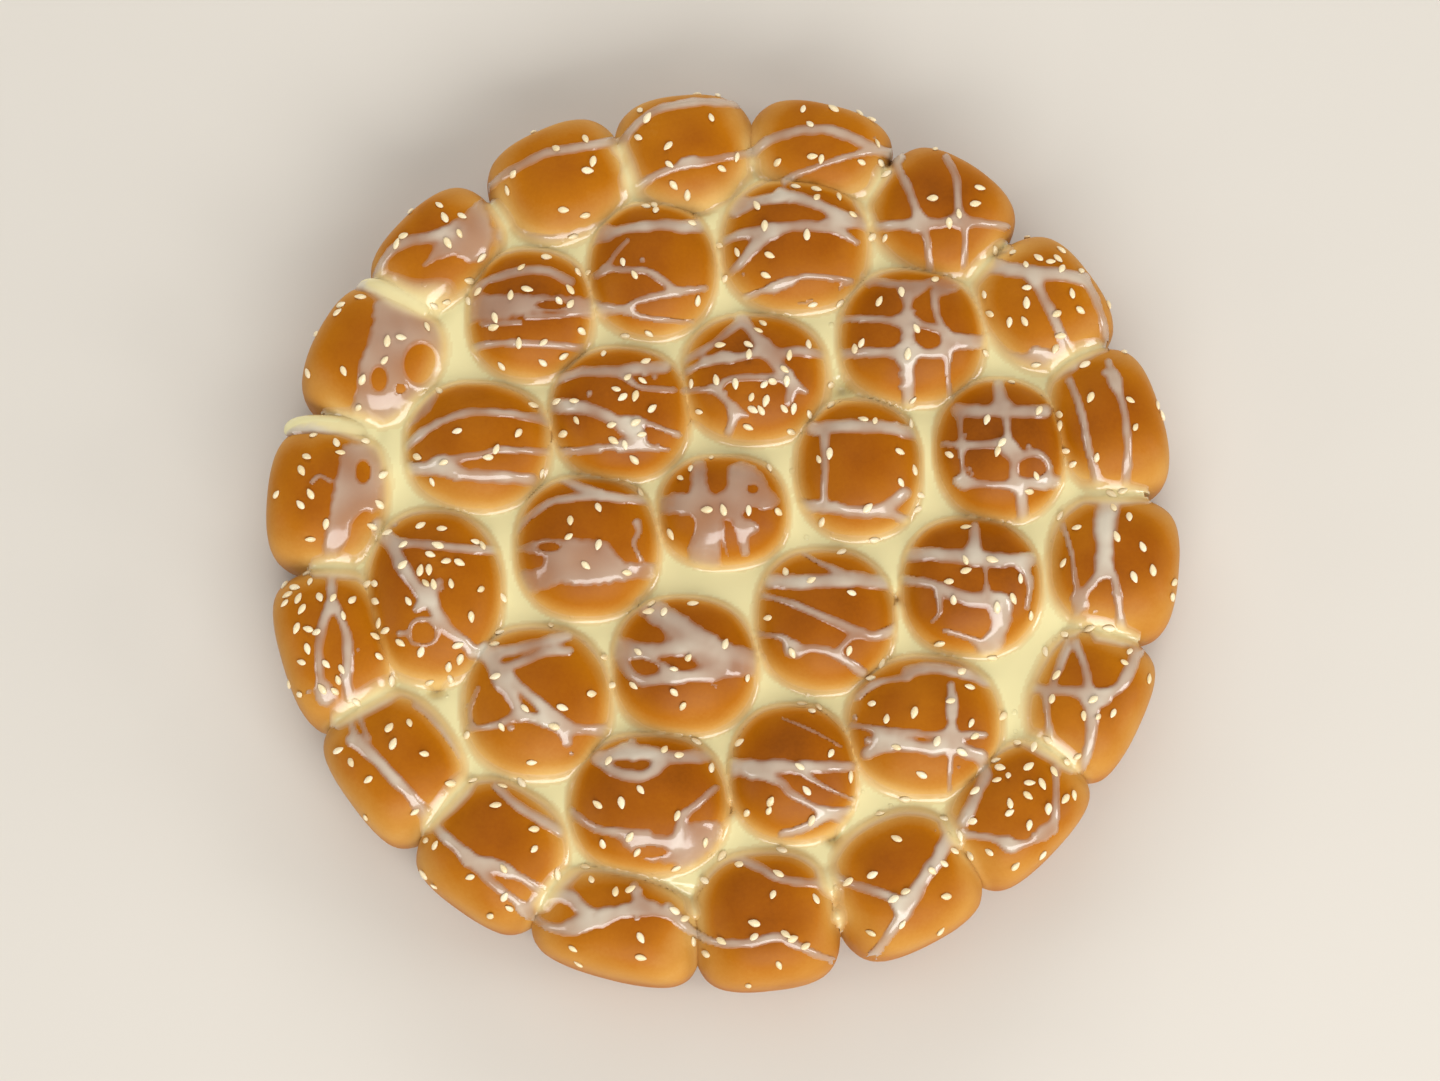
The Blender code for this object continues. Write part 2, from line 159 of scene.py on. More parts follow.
def layBuns():
    v = bunValues
    chance = random.Random(v["seed"])
    shown = (1 - ((v["creamLevel"] - v["shoulder"]) / v["dome"]) ** v["domePower"]) ** (1 / v["domePower"])
    buns = []
    for ring, rows in enumerate((centreBun, innerRing, secondRing)):
        for place, (pushX, pushY, shownX, shownY) in enumerate(rows):
            turn = math.radians(v["hexTurn"] + place * 360 / len(rows))
            corner = ring < 2 or place % 2 == 0
            away = ring * v["pitch"] * (1 if corner else math.cos(math.radians(30)))
            x = v["middle"][0] + away * math.cos(turn) + pushX * mm
            y = v["middle"][1] + away * math.sin(turn) + pushY * mm
            dome = v["dome"] + chance.uniform(-1, 1) * v["unevenDome"]
            buns.append(Bun(x, y, 0.0, shownX * mm / shown, shownY * mm / shown, dome, v["innerPower"]))
    for place, (push, begins, halfWidth) in enumerate(outerRing):
        turn = math.radians(v["outerTurn"] + place * 360 / len(outerRing) + push)
        reach = v["panRadius"] + v["panSoftness"]
        halfDepth = (reach - begins * mm) / (1 + shown)
        away = reach - halfDepth
        dome = v["rimDome"] + chance.uniform(-1, 1) * v["unevenDome"]
        x, y = away * math.cos(turn), away * math.sin(turn)
        buns.append(Bun(x, y, turn, halfDepth, halfWidth * mm, dome, v["rimPower"]))
    return buns


def storeShape(shape, mesh):
    shape.to_mesh(mesh)
    shape.free()


def shapeOf(obj):
    shape = bmesh.new()
    shape.from_mesh(obj.data)
    return shape


def newObject(name, shape, collection=None):
    mesh = bpy.data.meshes.new(name)
    storeShape(shape, mesh)
    obj = bpy.data.objects.new(name, mesh)
    (collection or bpy.context.scene.collection).objects.link(obj)
    return obj


def applyModifiers(obj):
    bpy.context.view_layer.update()
    obj.data = bpy.data.meshes.new_from_object(obj.evaluated_get(bpy.context.evaluated_depsgraph_get()))
    obj.modifiers.clear()


def combine(target, operation, collection):  # one Boolean with all that the collection holds
    boolean = target.modifiers.new("combine", "BOOLEAN")
    boolean.operation = operation
    boolean.operand_type = "COLLECTION"
    boolean.collection = collection
    boolean.solver = "MANIFOLD"
    applyModifiers(target)
    for obj in list(collection.objects):
        bpy.data.objects.remove(obj, do_unlink=True)
    bpy.data.collections.remove(collection)


def newCollection(name):
    collection = bpy.data.collections.new(name)
    bpy.context.scene.collection.children.link(collection)
    return collection


def pointsOf(mesh):
    flat = np.zeros(len(mesh.vertices) * 3)
    mesh.vertices.foreach_get("co", flat)
    return flat.reshape(-1, 3)


def setPoints(mesh, points):
    mesh.vertices.foreach_set("co", points.astype(np.float32).ravel())
    mesh.update()


def setAttribute(mesh, name, values):
    attribute = mesh.attributes.get(name) or mesh.attributes.new(name, "FLOAT", "POINT")
    attribute.data.foreach_set("value", np.asarray(values, np.float32).ravel())


def smoothSteps(low, high, values):
    t = np.clip((values - low) / (high - low), 0, 1)
    return t * t * (3 - 2 * t)


def softNoise(points, scale, seed):  # gentle noise, one value for each point
    offset = Vector((seed * 3.1, seed * 1.7, seed * 2.3))
    return np.array([noise.noise(Vector(p) / scale + offset) for p in points.tolist()])


def planNoise(places, scale, seed):  # the same for flat places, in the plan or in the photograph
    return softNoise(np.column_stack([places[:, :2], np.zeros(len(places))]), scale, seed)


def castDown(tree, x, y):  # what lies uppermost here: its place, normal, face number and distance
    return tree.ray_cast(Vector((x, y, bunValues["skyHeight"])), Vector((0, 0, -1)))


def lyingBall(shape, sides, rings):  # a ball of radius 1 with its poles along x
    bmesh.ops.create_uvsphere(
        shape, u_segments=sides, v_segments=rings, radius=1, matrix=Matrix.Rotation(math.radians(90), 4, "Y"))


# Crust

def makeCrust(buns, name, fineness, inset=0.0):
    v = bunValues
    height = v["coreHeight"] - inset
    core = bmesh.new()
    bmesh.ops.create_cone(
        core, cap_ends=True, segments=v["coreSides"], radius1=v["coreFoot"] - inset,
        radius2=v["coreTop"] - inset, depth=height, matrix=Matrix.Translation((0, 0, height / 2)))
    crust = newObject(name, core)
    joined = newCollection("buns")
    for bun in buns:
        shape = bmesh.new()
        bmesh.ops.create_icosphere(shape, subdivisions=fineness, radius=1)
        for vertex in shape.verts:
            vertex.co = bun.point(vertex.co, inset)
        newObject("bun", shape, joined)
    combine(crust, "UNION", joined)
    return crust


def spreads(buns, points):  # how far out each point lies on each bun: 0 at its middle, 1 on its outline
    v = bunValues
    radius = np.maximum(np.hypot(points[:, 0], points[:, 1]), 1e-9)
    room = np.maximum(v["panRadius"] - radius, 1e-6) / v["panSoftness"]
    free = (v["panRadius"] - v["panSoftness"] * np.log(np.expm1(np.minimum(room, 60)))) / radius
    x, y = points[:, 0] * free, points[:, 1] * free
    rows = []
    for bun in buns:
        dx, dy = x - bun.x, y - bun.y
        across = np.abs(dx * bun.cos + dy * bun.sin) / bun.halfX
        along = np.abs(dy * bun.cos - dx * bun.sin) / bun.halfY
        rows.append((across ** bun.planPower + along ** bun.planPower) ** (1 / bun.planPower))
    return np.array(rows)


# How brown the crust is, plus painted light on the flanks that face -y
bakeAndPaintedLightValues = {
    "top": 0.88, "waterline": 0.15, "crease": 0.05, "side": 0.49, "foot": 0.64, "under": 0.55,
    "soon": 0.75,  # the part of the browning that comes low on the dome
    "soonFrom": 1.5 * mm, "soonFull": 6 * mm,  # from here below the cream's level to here below the crown
    "lateFrom": 9 * mm, "lateFull": 1 * mm,  # the rest of it, both below the crown
    "creaseFrom": 1 * mm,  # above the cream's level, where the tone of the creases begins
    "outside": (119 * mm, 132 * mm),  # the radii between which the outer walls' tone sets in
    "wall": (29 * mm, 16 * mm), "base": (1.5 * mm, 0.1 * mm),  # heights: the foot's tone, the underside's
    "touchReach": 0.2, "touchPaler": 0.4,  # buns are paler where they grew together
    "paintedLightOnNearFlanks": 0.12,  # painted light: how much paler the flanks that face -y are made, as if lit by the key light
    "unevenBun": 0.05, "unevenSeed": 11,
    "patchy": 0.09, "patchScale": 13 * mm, "patchSeed": 5,
}


def sideOf(buns, points, way=1):  # 1 on flanks towards the photograph's top (at -1 its bottom), else 0
    nearest = np.argmin(spreads(buns, points), axis=0)
    away = points[:, 1] - np.array([bun.y for bun in buns])[nearest]
    return smoothSteps(0, bunValues["pitch"] / bunValues["flankPart"], away * way)


def bakeAndPaintedLightOf(buns, points):  # 0 is pale dough and 1 is the darkest crust; flanks facing -y are lightened as painted light
    v, b = bunValues, bakeAndPaintedLightValues
    chance = random.Random(b["unevenSeed"])
    tint = np.array([chance.uniform(-1, 1) for _ in buns]) * b["unevenBun"]
    rows = spreads(buns, points)
    nearest = np.argmin(rows, axis=0)
    rows = np.sort(rows, axis=0)
    touching = 1 - smoothSteps(0.0, b["touchReach"], rows[1] - rows[0])
    z = points[:, 2]
    crown = v["shoulder"] + v["dome"]
    outside = smoothSteps(*b["outside"], np.hypot(points[:, 0], points[:, 1]))
    soon = b["soon"] * (1 - outside / 2)
    up = soon * smoothSteps(v["creamLevel"] - b["soonFrom"], crown - b["soonFull"], z)
    up = up + (1 - soon) * smoothSteps(crown - b["lateFrom"], crown - b["lateFull"], z)
    lowTone = b["waterline"] + (b["side"] - b["waterline"]) * outside
    bakeAndPaintedLight = lowTone + (b["top"] - lowTone) * up
    low = smoothSteps(v["creamLevel"] + b["creaseFrom"], v["shoulder"], z)
    side = b["side"] + (b["foot"] - b["side"]) * smoothSteps(*b["wall"], z)
    bakeAndPaintedLight = bakeAndPaintedLight + (b["crease"] + (side - b["crease"]) * outside - bakeAndPaintedLight) * low
    bakeAndPaintedLight = bakeAndPaintedLight - b["touchPaler"] * touching * (bakeAndPaintedLight - b["crease"])
    # painted light: flanks that face -y, towards the key light, are made paler
    bakeAndPaintedLight = bakeAndPaintedLight - b["paintedLightOnNearFlanks"] * up * sideOf(buns, points, -1)
    bakeAndPaintedLight = bakeAndPaintedLight + (b["under"] - bakeAndPaintedLight) * smoothSteps(*b["base"], z)
    return bakeAndPaintedLight + tint[nearest] + softNoise(points, b["patchScale"], b["patchSeed"]) * b["patchy"]


# Where a point shows in the photograph, in its pixels

def cameraAxes():
    tilt = math.radians(photoView["elevation"])
    ahead = np.array([0, math.cos(tilt), -math.sin(tilt)])
    right = np.array([1.0, 0, 0])
    focal = photoView["lens"] / photoView["sensor"] * photoView["width"]
    place = np.array(photoView["aim"]) - ahead * focal * photoView["pixel"]
    return place, ahead, right, np.cross(right, ahead), focal


def toPixels(points):
    place, ahead, right, upward, focal = cameraAxes()
    rays = points - place
    depth = rays @ ahead
    across = photoView["width"] / 2 + focal * (rays @ right) / depth
    down = photoView["height"] / 2 - focal * (rays @ upward) / depth
    return np.stack([across, down], axis=1)


def fromPixel(x, y, height=36 * mm):  # the place at this height that a pixel shows
    place, ahead, right, upward, focal = cameraAxes()
    across, rise = x - photoView["width"] / 2, photoView["height"] / 2 - y
    ray = ahead + right * across / focal + upward * rise / focal
    return Vector(place + ray * (height - place[2]) / ray[2])


# Milk. Routes are points of the photograph, and widths are in its pixels

milkValues = {
    "grid": 0.72 * mm,  # how finely its surface is cut
    "radius": 139.5 * mm,
    "level": 29.8 * mm, "levelWander": 0.35 * mm, "levelScale": 34 * mm, "levelSeed": 3,
    "crackDepth": 4,  # millimetres
    "filmClimb": 1.25 * mm,  # how softly the cream runs up the crust
    "filmEdge": 0.12 * mm,  # taken off its depth, so that it ends
    "filmLean": 1.3 * mm,  # how much higher it stands on flanks that face the photograph's top
    "leanFrom": -2 * mm, "leanFull": 1 * mm,  # heights above the level
    "drain": 0.25, "drainFrom": 1 * mm, "drainReach": 4 * mm,  # it thins with the height above the level
    "spread": 0.7,  # pixels that a strand runs out on each side
    "beadHeight": 0.62, "beadLimit": 1.2 * mm,  # a strand's height to its half width, and at most
    "unevenWidth": 0.3, "raggedEdge": 0.12, "unevenHeight": 0.7,
    "widthNoise": (16.0, 9), "edgeNoise": (7.0, 4), "heightNoise": (30.0, 6),  # scale in pixels, and seed
    "nearPart": 1.6, "nearPixels": 10, "sheetPixels": 14,  # how far around a route it is worked out
    "drops": 70, "dropSeed": 8,  # loose drops beside the strands, in pixels
    "dropFrom": 4, "dropReach": 13, "dropSize": (1.4, 3.2), "dropRagged": 0.5,
    "edge": 0.38, "steep": 2.2,  # how roundly strands melt together, and how steep their sides are
    "fallOff": 0.8, "bareLimit": -1.0 * mm,  # how fast its surface dips under the crust, and how far
    "sheet": 0.44 * mm, "sheetEdge": 4.5, "sheetRagged": 2.5,  # thin sheets of milk
    "sheetRim": 0.2, "sheetRimWidth": 0.7,  # and their thicker rims
    "melt": 0.45 * mm,  # how roundly strands run into the cream
    "sunk": 0.35 * mm, "slab": 7 * mm,  # how far its edge goes under the crust, and its depth
    "lowest": 15 * mm, "scrap": 60,  # none lies lower, and loose bits with fewer points go
    "leastSlope": 0.3,  # the upward part of a normal counts as this at least
    "poolFades": 3.0 * mm, "poolFull": 0.75 * mm,  # from here above the level to here below it
}
# A route, its width, and the width at its end where that is another
strands = [
    # the ring against the pan, from the top, clockwise
    ([(622, 145), (632, 129), (651, 113), (678, 105), (704, 102), (740, 105)], 7, 8),
    ([(636, 190), (656, 175), (686, 165), (712, 160), (750, 153)], 7, 8), ([(684, 164), (694, 162)], 10),
    ([(752, 153), (774, 138), (804, 130), (830, 130), (854, 139), (874, 149), (900, 157)], 9, 10),
    ([(784, 181), (804, 172), (837, 160), (872, 151)], 7, 5),
    ([(893, 158), (909, 190), (919, 217), (926, 236), (930, 268)], 8, 6), ([(918, 222), (919, 223)], 15),
    ([(946, 157), (956, 177), (959, 207), (965, 226), (964, 266)], 7, 5), ([(962, 222), (963, 223)], 14),
    ([(878, 227), (906, 225), (933, 224), (966, 222), (1006, 227)], 9),
    ([(990, 266), (1010, 269), (1035, 273), (1059, 275), (1084, 279)], 17, 10),
    ([(1084, 280), (1096, 300), (1103, 325), (1107, 348)], 7),
    ([(1034, 277), (1049, 307), (1062, 337), (1073, 366)], 10, 7), ([(1036, 352), (1046, 358)], 12),
    ([(1070, 382), (1081, 412), (1087, 442), (1097, 482)], 8),
    ([(1113, 378), (1115, 381)], 15),
    ([(1108, 362), (1116, 384), (1123, 406), (1127, 430), (1128, 456), (1124, 497)], 6, 8),
    ([(1063, 525), (1072, 557), (1076, 592), (1076, 614)], 5, 6),
    ([(1107, 500), (1105, 533), (1104, 563), (1104, 572)], 25, 12),
    ([(1104, 570), (1093, 583), (1079, 600)], 8), ([(1078, 600), (1080, 604)], 14),
    ([(1108, 571), (1115, 580), (1119, 603), (1122, 642)], 8, 7),
    ([(1067, 648), (1060, 664), (1052, 686)], 9, 7), ([(1076, 643), (1085, 668), (1090, 692)], 7, 8),
    ([(1022, 688), (1055, 690), (1089, 694), (1106, 698)], 10),
    ([(1092, 698), (1119, 688), (1130, 670), (1138, 652)], 9, 13),
    ([(1091, 696), (1092, 724), (1089, 747), (1082, 768)], 13, 9), ([(1092, 700), (1093, 701)], 17),
    ([(1045, 694), (1048, 721), (1052, 752)], 6),
    ([(950, 833), (985, 837), (1010, 844), (1033, 841), (1052, 828)], 7),
    ([(1053, 830), (1056, 800), (1056, 768)], 7, 6), ([(1008, 843), (1012, 846)], 15),
    ([(1045, 832), (1050, 829)], 13),
    ([(962, 822), (975, 798), (986, 774)], 13, 11),
    ([(832, 877), (863, 888), (888, 896), (903, 908)], 8, 9),
    ([(948, 842), (927, 875), (912, 897), (901, 916), (886, 939), (868, 963)], 14, 9),
    ([(906, 904), (905, 906)], 19),
    ([(668, 908), (680, 920), (697, 934), (719, 943), (749, 943), (779, 937), (798, 946), (834, 962)], 9, 7),
    ([(734, 857), (761, 868), (779, 878), (798, 882), (826, 884)], 9, 8),
    ([(522, 908), (534, 918), (552, 928), (579, 928), (605, 918), (632, 908), (654, 910), (677, 920),
      (690, 930)], 9, 8),
    ([(572, 927), (604, 916)], 15), ([(526, 912), (536, 901), (554, 895), (573, 899), (584, 915)], 9, 16),
    ([(628, 910), (652, 907)], 15, 13), ([(640, 904), (634, 886)], 13, 8),
    ([(416, 808), (432, 824), (446, 838), (468, 857)], 7, 12), ([(468, 858), (494, 884), (528, 910)], 10, 7),
    ([(468, 855), (501, 869), (524, 879), (547, 895)], 9, 7), ([(492, 865), (508, 872)], 13, 10),
    ([(496, 787), (520, 807), (543, 821), (560, 831)], 7, 11),
    ([(348, 717), (358, 741)], 4), ([(358, 714), (368, 738)], 4),
    ([(354, 741), (371, 754), (394, 778), (418, 804), (434, 822)], 14, 8),
    ([(415, 704), (434, 721), (450, 740), (460, 756)], 7, 5),
    ([(332, 574), (332, 604)], 9), ([(330, 606), (321, 631), (319, 662), (321, 681), (325, 697)], 8, 9),
    ([(325, 691), (327, 697)], 16), ([(335, 606), (346, 631), (348, 658), (346, 678), (351, 700)], 8, 11),
    ([(312, 482), (320, 476), (330, 481)], 3),
    ([(376, 280), (387, 256), (407, 242), (437, 236), (458, 228)], 8, 11),
    ([(486, 192), (500, 178), (520, 166), (548, 153), (581, 147), (612, 142)], 7, 9),
    # the second ring, from its top left, clockwise
    ([(591, 241), (619, 231), (653, 225), (672, 226), (700, 226)], 6, 14),
    ([(628, 240), (616, 253), (605, 270)], 4), ([(596, 276), (606, 269)], 7),
    ([(606, 269), (629, 270), (649, 272), (666, 283), (678, 291), (704, 289)], 5, 9),
    ([(678, 292), (653, 297), (636, 302), (629, 309), (638, 316), (660, 320), (692, 322)], 7, 5),
    ([(600, 309), (629, 311)], 12, 8),
    ([(733, 212), (749, 203), (773, 199), (793, 197), (816, 204), (843, 217), (866, 224)], 9, 12),
    ([(738, 208), (742, 206)], 14), ([(776, 196), (779, 191)], 8),
    ([(723, 242), (743, 234), (769, 230), (799, 226), (826, 226), (850, 221)], 8, 12),
    ([(769, 234), (754, 247), (742, 262), (732, 272)], 14, 6), ([(826, 226), (842, 233), (857, 243)], 8, 5),
    ([(745, 298), (760, 292), (780, 286), (800, 278), (820, 277), (850, 281)], 6),
    ([(774, 288), (790, 283)], 11, 8),
    ([(846, 284), (828, 296), (798, 304)], 2.5),
    ([(907, 296), (908, 330), (907, 352)], 6, 14), ([(907, 352), (908, 375), (908, 410)], 14, 11),
    ([(934, 292), (937, 315), (945, 332), (950, 347)], 6, 9), ([(950, 347), (948, 370), (950, 400)], 9, 3.5),
    ([(838, 320), (874, 319), (905, 323), (934, 328), (948, 336)], 7),
    ([(838, 355), (867, 353), (905, 352), (934, 353), (953, 347), (985, 343)], 9, 8),
    ([(907, 322), (908, 323)], 17), ([(907, 353), (908, 354)], 20),
    ([(949, 341), (960, 339), (984, 341)], 13, 9),
    ([(957, 411), (990, 411), (1020, 412), (1045, 411)], 12), ([(998, 384), (1002, 405)], 10, 14),
    ([(960, 415), (961, 444), (963, 480)], 5), ([(1006, 417), (1009, 444), (1014, 458), (1014, 484)], 5, 8),
    ([(944, 444), (974, 445), (1004, 444), (1018, 453)], 6, 9),
    ([(1018, 456), (1036, 453), (1048, 462), (1049, 474), (1040, 482)], 7),
    ([(957, 480), (981, 484), (1008, 485), (1042, 484)], 7), ([(1018, 484), (1022, 502), (1023, 524)], 16, 9),
    ([(1010, 450), (1011, 451)], 16), ([(963, 484), (964, 485)], 11), ([(1034, 484), (1056, 482)], 9, 12),
    ([(901, 556), (930, 554), (964, 556), (997, 560), (1030, 560)], 13), ([(975, 526), (975, 556)], 7, 14),
    ([(985, 562), (986, 580), (988, 598)], 3.5),
    ([(903, 580), (930, 584), (950, 593), (970, 599), (990, 601), (1003, 606)], 9, 15),
    ([(1001, 602), (1000, 626), (987, 652)], 16, 18), ([(944, 631), (964, 637), (988, 646)], 4, 9),
    ([(937, 594), (940, 612), (932, 622)], 6, 4), ([(1022, 562), (1030, 582), (1027, 608)], 9, 5),
    ([(858, 697), (877, 683), (907, 677)], 7), ([(907, 672), (940, 668), (988, 682)], 11),
    ([(951, 686), (952, 714), (952, 744)], 7, 8), ([(952, 700), (952, 714)], 9),
    ([(852, 726), (877, 729), (911, 733), (951, 735), (985, 735)], 6),
    ([(868, 754), (889, 744), (911, 745), (931, 749), (951, 747), (980, 757)], 12, 14),
    ([(881, 740), (900, 737)], 18, 8), ([(951, 740), (952, 741)], 18), ([(951, 752), (949, 790)], 6, 4),
    ([(774, 715), (809, 729), (842, 747)], 2.5),
    ([(732, 768), (750, 767), (796, 767), (850, 766)], 20, 9),
    ([(749, 771), (779, 782), (792, 794), (812, 806), (829, 814), (846, 824)], 10, 6),
    ([(800, 768), (806, 776), (829, 789), (856, 801)], 6, 3),
    ([(782, 834), (802, 829), (816, 822), (828, 814), (852, 812)], 9),
    ([(620, 752), (648, 754), (680, 757), (707, 756)], 14, 12), ([(596, 760), (612, 754), (632, 751)], 7, 12),
    ([(600, 757), (609, 768), (626, 775), (646, 775), (662, 764)], 10, 12),
    ([(716, 788), (695, 806), (683, 816), (680, 830), (675, 844)], 6, 10),
    ([(572, 812), (592, 826), (612, 832), (648, 834)], 9, 7),
    ([(500, 652), (530, 646), (568, 636)], 10, 11), ([(495, 672), (524, 661), (546, 652), (570, 651)], 8),
    ([(484, 652), (496, 668), (502, 682)], 20, 12), ([(500, 679), (514, 699), (521, 716)], 12, 10),
    ([(506, 676), (528, 694), (544, 709), (565, 728)], 10, 8),
    ([(468, 729), (494, 726), (520, 716), (546, 721), (574, 729), (604, 731)], 5, 12),
    ([(546, 716), (560, 724), (568, 742)], 18, 10), ([(478, 688), (470, 712), (474, 729)], 4),
    ([(388, 538), (395, 542), (429, 545), (462, 548), (500, 551)], 8),
    ([(378, 526), (390, 543), (402, 566), (415, 585), (429, 599), (441, 620), (456, 636),
      (473, 651)], 14, 11),
    ([(424, 595), (439, 583)], 16, 9), ([(428, 598), (417, 609)], 14, 6), ([(400, 634), (410, 634)], 6, 3),
    ([(423, 646), (413, 643), (409, 633), (413, 623), (423, 619), (433, 623), (437, 633), (433, 643),
      (423, 646)], 3.6),
    ([(404, 450), (418, 437), (438, 423), (467, 413), (501, 413), (536, 418), (548, 423)], 8, 7),
    ([(446, 460), (478, 455), (501, 450), (552, 452), (600, 451)], 6),
    ([(402, 470), (438, 468), (468, 475), (501, 477), (532, 480)], 14, 11), ([(440, 466), (456, 476)], 16, 9),
    ([(475, 290), (487, 281), (501, 276), (521, 271), (548, 271), (570, 282)], 7, 9),
    ([(470, 353), (481, 346), (511, 343), (544, 345), (580, 348)], 8, 6),
    ([(482, 325), (500, 324), (520, 323)], 3.5), ([(526, 317), (560, 316), (585, 311)], 3),
    # the first ring and the centre
    ([(683, 362), (711, 345), (725, 334), (742, 321)], 5, 9), ([(741, 314), (755, 336), (764, 346)], 11, 8),
    ([(764, 346), (778, 353), (799, 351), (827, 356)], 15, 6),
    ([(687, 372), (706, 362), (720, 357), (740, 357), (766, 350)], 6, 8), ([(706, 362), (728, 357)], 9),
    ([(684, 391), (717, 388), (725, 381), (745, 377), (781, 378)], 6),
    ([(714, 388), (727, 402), (735, 412), (729, 432)], 8, 9), ([(734, 412), (746, 416)], 13, 5),
    ([(768, 352), (779, 368), (791, 381), (789, 402)], 13, 9), ([(786, 378), (806, 392)], 10, 5),
    ([(812, 428), (841, 426), (880, 427), (915, 434)], 13, 12), ([(824, 430), (825, 463), (823, 506)], 8, 5),
    ([(800, 506), (828, 508), (858, 512), (884, 509), (905, 494)], 13, 12),
    ([(884, 512), (904, 520), (918, 530)], 8),
    ([(771, 582), (802, 582), (852, 580), (888, 583)], 14),
    ([(803, 554), (825, 565), (850, 575)], 3, 6),
    ([(764, 596), (790, 603), (812, 612), (835, 622), (859, 632), (875, 636), (900, 627)], 5, 11),
    ([(754, 634), (782, 638), (796, 648), (819, 649), (838, 656), (862, 672)], 5, 10),
    ([(792, 648), (797, 652)], 17, 12), ([(838, 652), (849, 640), (860, 634)], 5),
    ([(648, 606), (672, 618), (694, 634), (721, 650), (755, 663)], 9, 7),
    ([(617, 646), (644, 651), (671, 648), (694, 646), (714, 652)], 17, 12), ([(640, 652), (662, 665)], 5, 3),
    ([(618, 656), (631, 674), (645, 681), (671, 677), (708, 676), (719, 669)], 12, 11),
    ([(664, 668), (672, 676)], 9, 12), ([(726, 660), (727, 674)], 9, 6), ([(712, 685), (736, 698)], 1.6),
    ([(514, 534), (524, 522), (538, 510), (556, 500), (578, 498), (600, 496)], 6, 7),
    ([(562, 479), (588, 490), (612, 497), (646, 500)], 8),
    ([(637, 523), (639, 532), (634, 544), (642, 560)], 8, 3),
    ([(556, 381), (581, 372), (615, 371), (645, 368), (666, 367)], 9, 12),
    ([(622, 374), (634, 384), (645, 388), (674, 390)], 5),
    ([(546, 407), (575, 406), (595, 412), (615, 420), (627, 426)], 14, 10), ([(629, 427), (635, 431)], 20),
    ([(638, 420), (657, 427), (678, 435)], 5),
    ([(553, 452), (579, 451), (599, 448), (620, 447)], 4, 7), ([(620, 447), (640, 446)], 10),
    ([(639, 436), (641, 446), (669, 450)], 8, 4),
    ([(693, 512), (698, 520), (696, 532), (690, 548)], 3), ([(722, 522), (724, 540), (728, 556)], 1.5),
    ([(743, 509), (752, 504), (764, 508)], 3), ([(738, 524), (744, 536), (747, 552)], 4),
]
# Broad thin sheets, by their outlines
sheets = [
    [(374, 304), (370, 334), (360, 362), (355, 391), (353, 424), (372, 424), (395, 432), (425, 416),
     (438, 392), (446, 345), (434, 312), (402, 292)],
    [(343, 444), (335, 482), (329, 515), (323, 542), (325, 558), (338, 554), (348, 540), (354, 522),
     (364, 512), (380, 510), (392, 500), (394, 466), (380, 445)],
    [(482, 196), (492, 226), (490, 254), (474, 264), (457, 256), (440, 258), (424, 266), (432, 250),
     (442, 236), (464, 214)],
    [(500, 226), (550, 236), (605, 224), (608, 240), (555, 251), (500, 243)],
    [(463, 300), (490, 294), (540, 295), (592, 299), (594, 318), (555, 312), (520, 316), (500, 320),
     (466, 322)],
    [(514, 550), (536, 541), (556, 539), (604, 541), (614, 551), (628, 563), (652, 562), (656, 578),
     (634, 580), (610, 583), (580, 586), (560, 584), (540, 592), (526, 592), (518, 580), (520, 572),
     (540, 567), (543, 557), (527, 553)],
    [(657, 499), (672, 493), (688, 492), (691, 474), (694, 462), (706, 462), (707, 480), (710, 492),
     (719, 494), (727, 484), (729, 466), (745, 462), (762, 474), (772, 490), (780, 502), (768, 508),
     (752, 504), (744, 510), (744, 517), (758, 524), (757, 533), (749, 538), (747, 554), (741, 555),
     (737, 537), (731, 522), (722, 522), (721, 556), (714, 572), (692, 568), (689, 550), (697, 535),
     (697, 520), (680, 515), (660, 514)],
    [(618, 838), (645, 833), (672, 836), (684, 828), (704, 820), (722, 824), (716, 846), (700, 862),
     (692, 880), (682, 882), (676, 866), (652, 862), (628, 850)],
    [(862, 274), (905, 280), (962, 276), (960, 289), (940, 296), (930, 288), (912, 299), (900, 298),
     (895, 288), (866, 286)],
    [(998, 352), (1030, 354), (1064, 350), (1066, 372), (1030, 369), (1000, 374)],
    [(636, 599), (655, 599), (676, 610), (700, 626), (726, 642), (760, 652), (764, 670), (745, 676),
     (715, 676), (690, 656), (664, 632), (642, 616)],
]
# Bare places in the sheets and strands: their middle and their half sizes
bareSpots = [
    (421, 364, 17, 20), (379, 379, 8, 12), (401, 389, 5, 4), (363, 472, 7, 11), (552, 305, 15, 4),
    (549, 547, 11, 4), (753, 489, 5, 4), (680, 483, 7, 7), (556, 909, 11, 8), (1080, 352, 4, 6),
    (650, 852, 17, 5),
]
# Open cracks between the buns, where the cream lies lower: pixel and reach
cracks = [
    (842, 394, 11), (700, 205, 12), (722, 190, 12), (684, 214, 9), (545, 436, 7), (690, 415, 7),
    (614, 165, 8), (743, 115, 8), (744, 150, 8), (695, 950, 10), (700, 975, 10), (831, 905, 9),
    (836, 935, 9), (965, 875, 9), (975, 890, 9), (437, 690, 8), (895, 600, 5), (600, 695, 5),
    (728, 810, 6), (833, 838, 7), (1000, 258, 7), (1085, 635, 7), (860, 180, 8),
]
# Where it stands higher: pixel, reach, and millimetres
mounds = [(415, 405, 22, 2.5), (440, 290, 18, 1.5), (395, 470, 18, 1.5)]
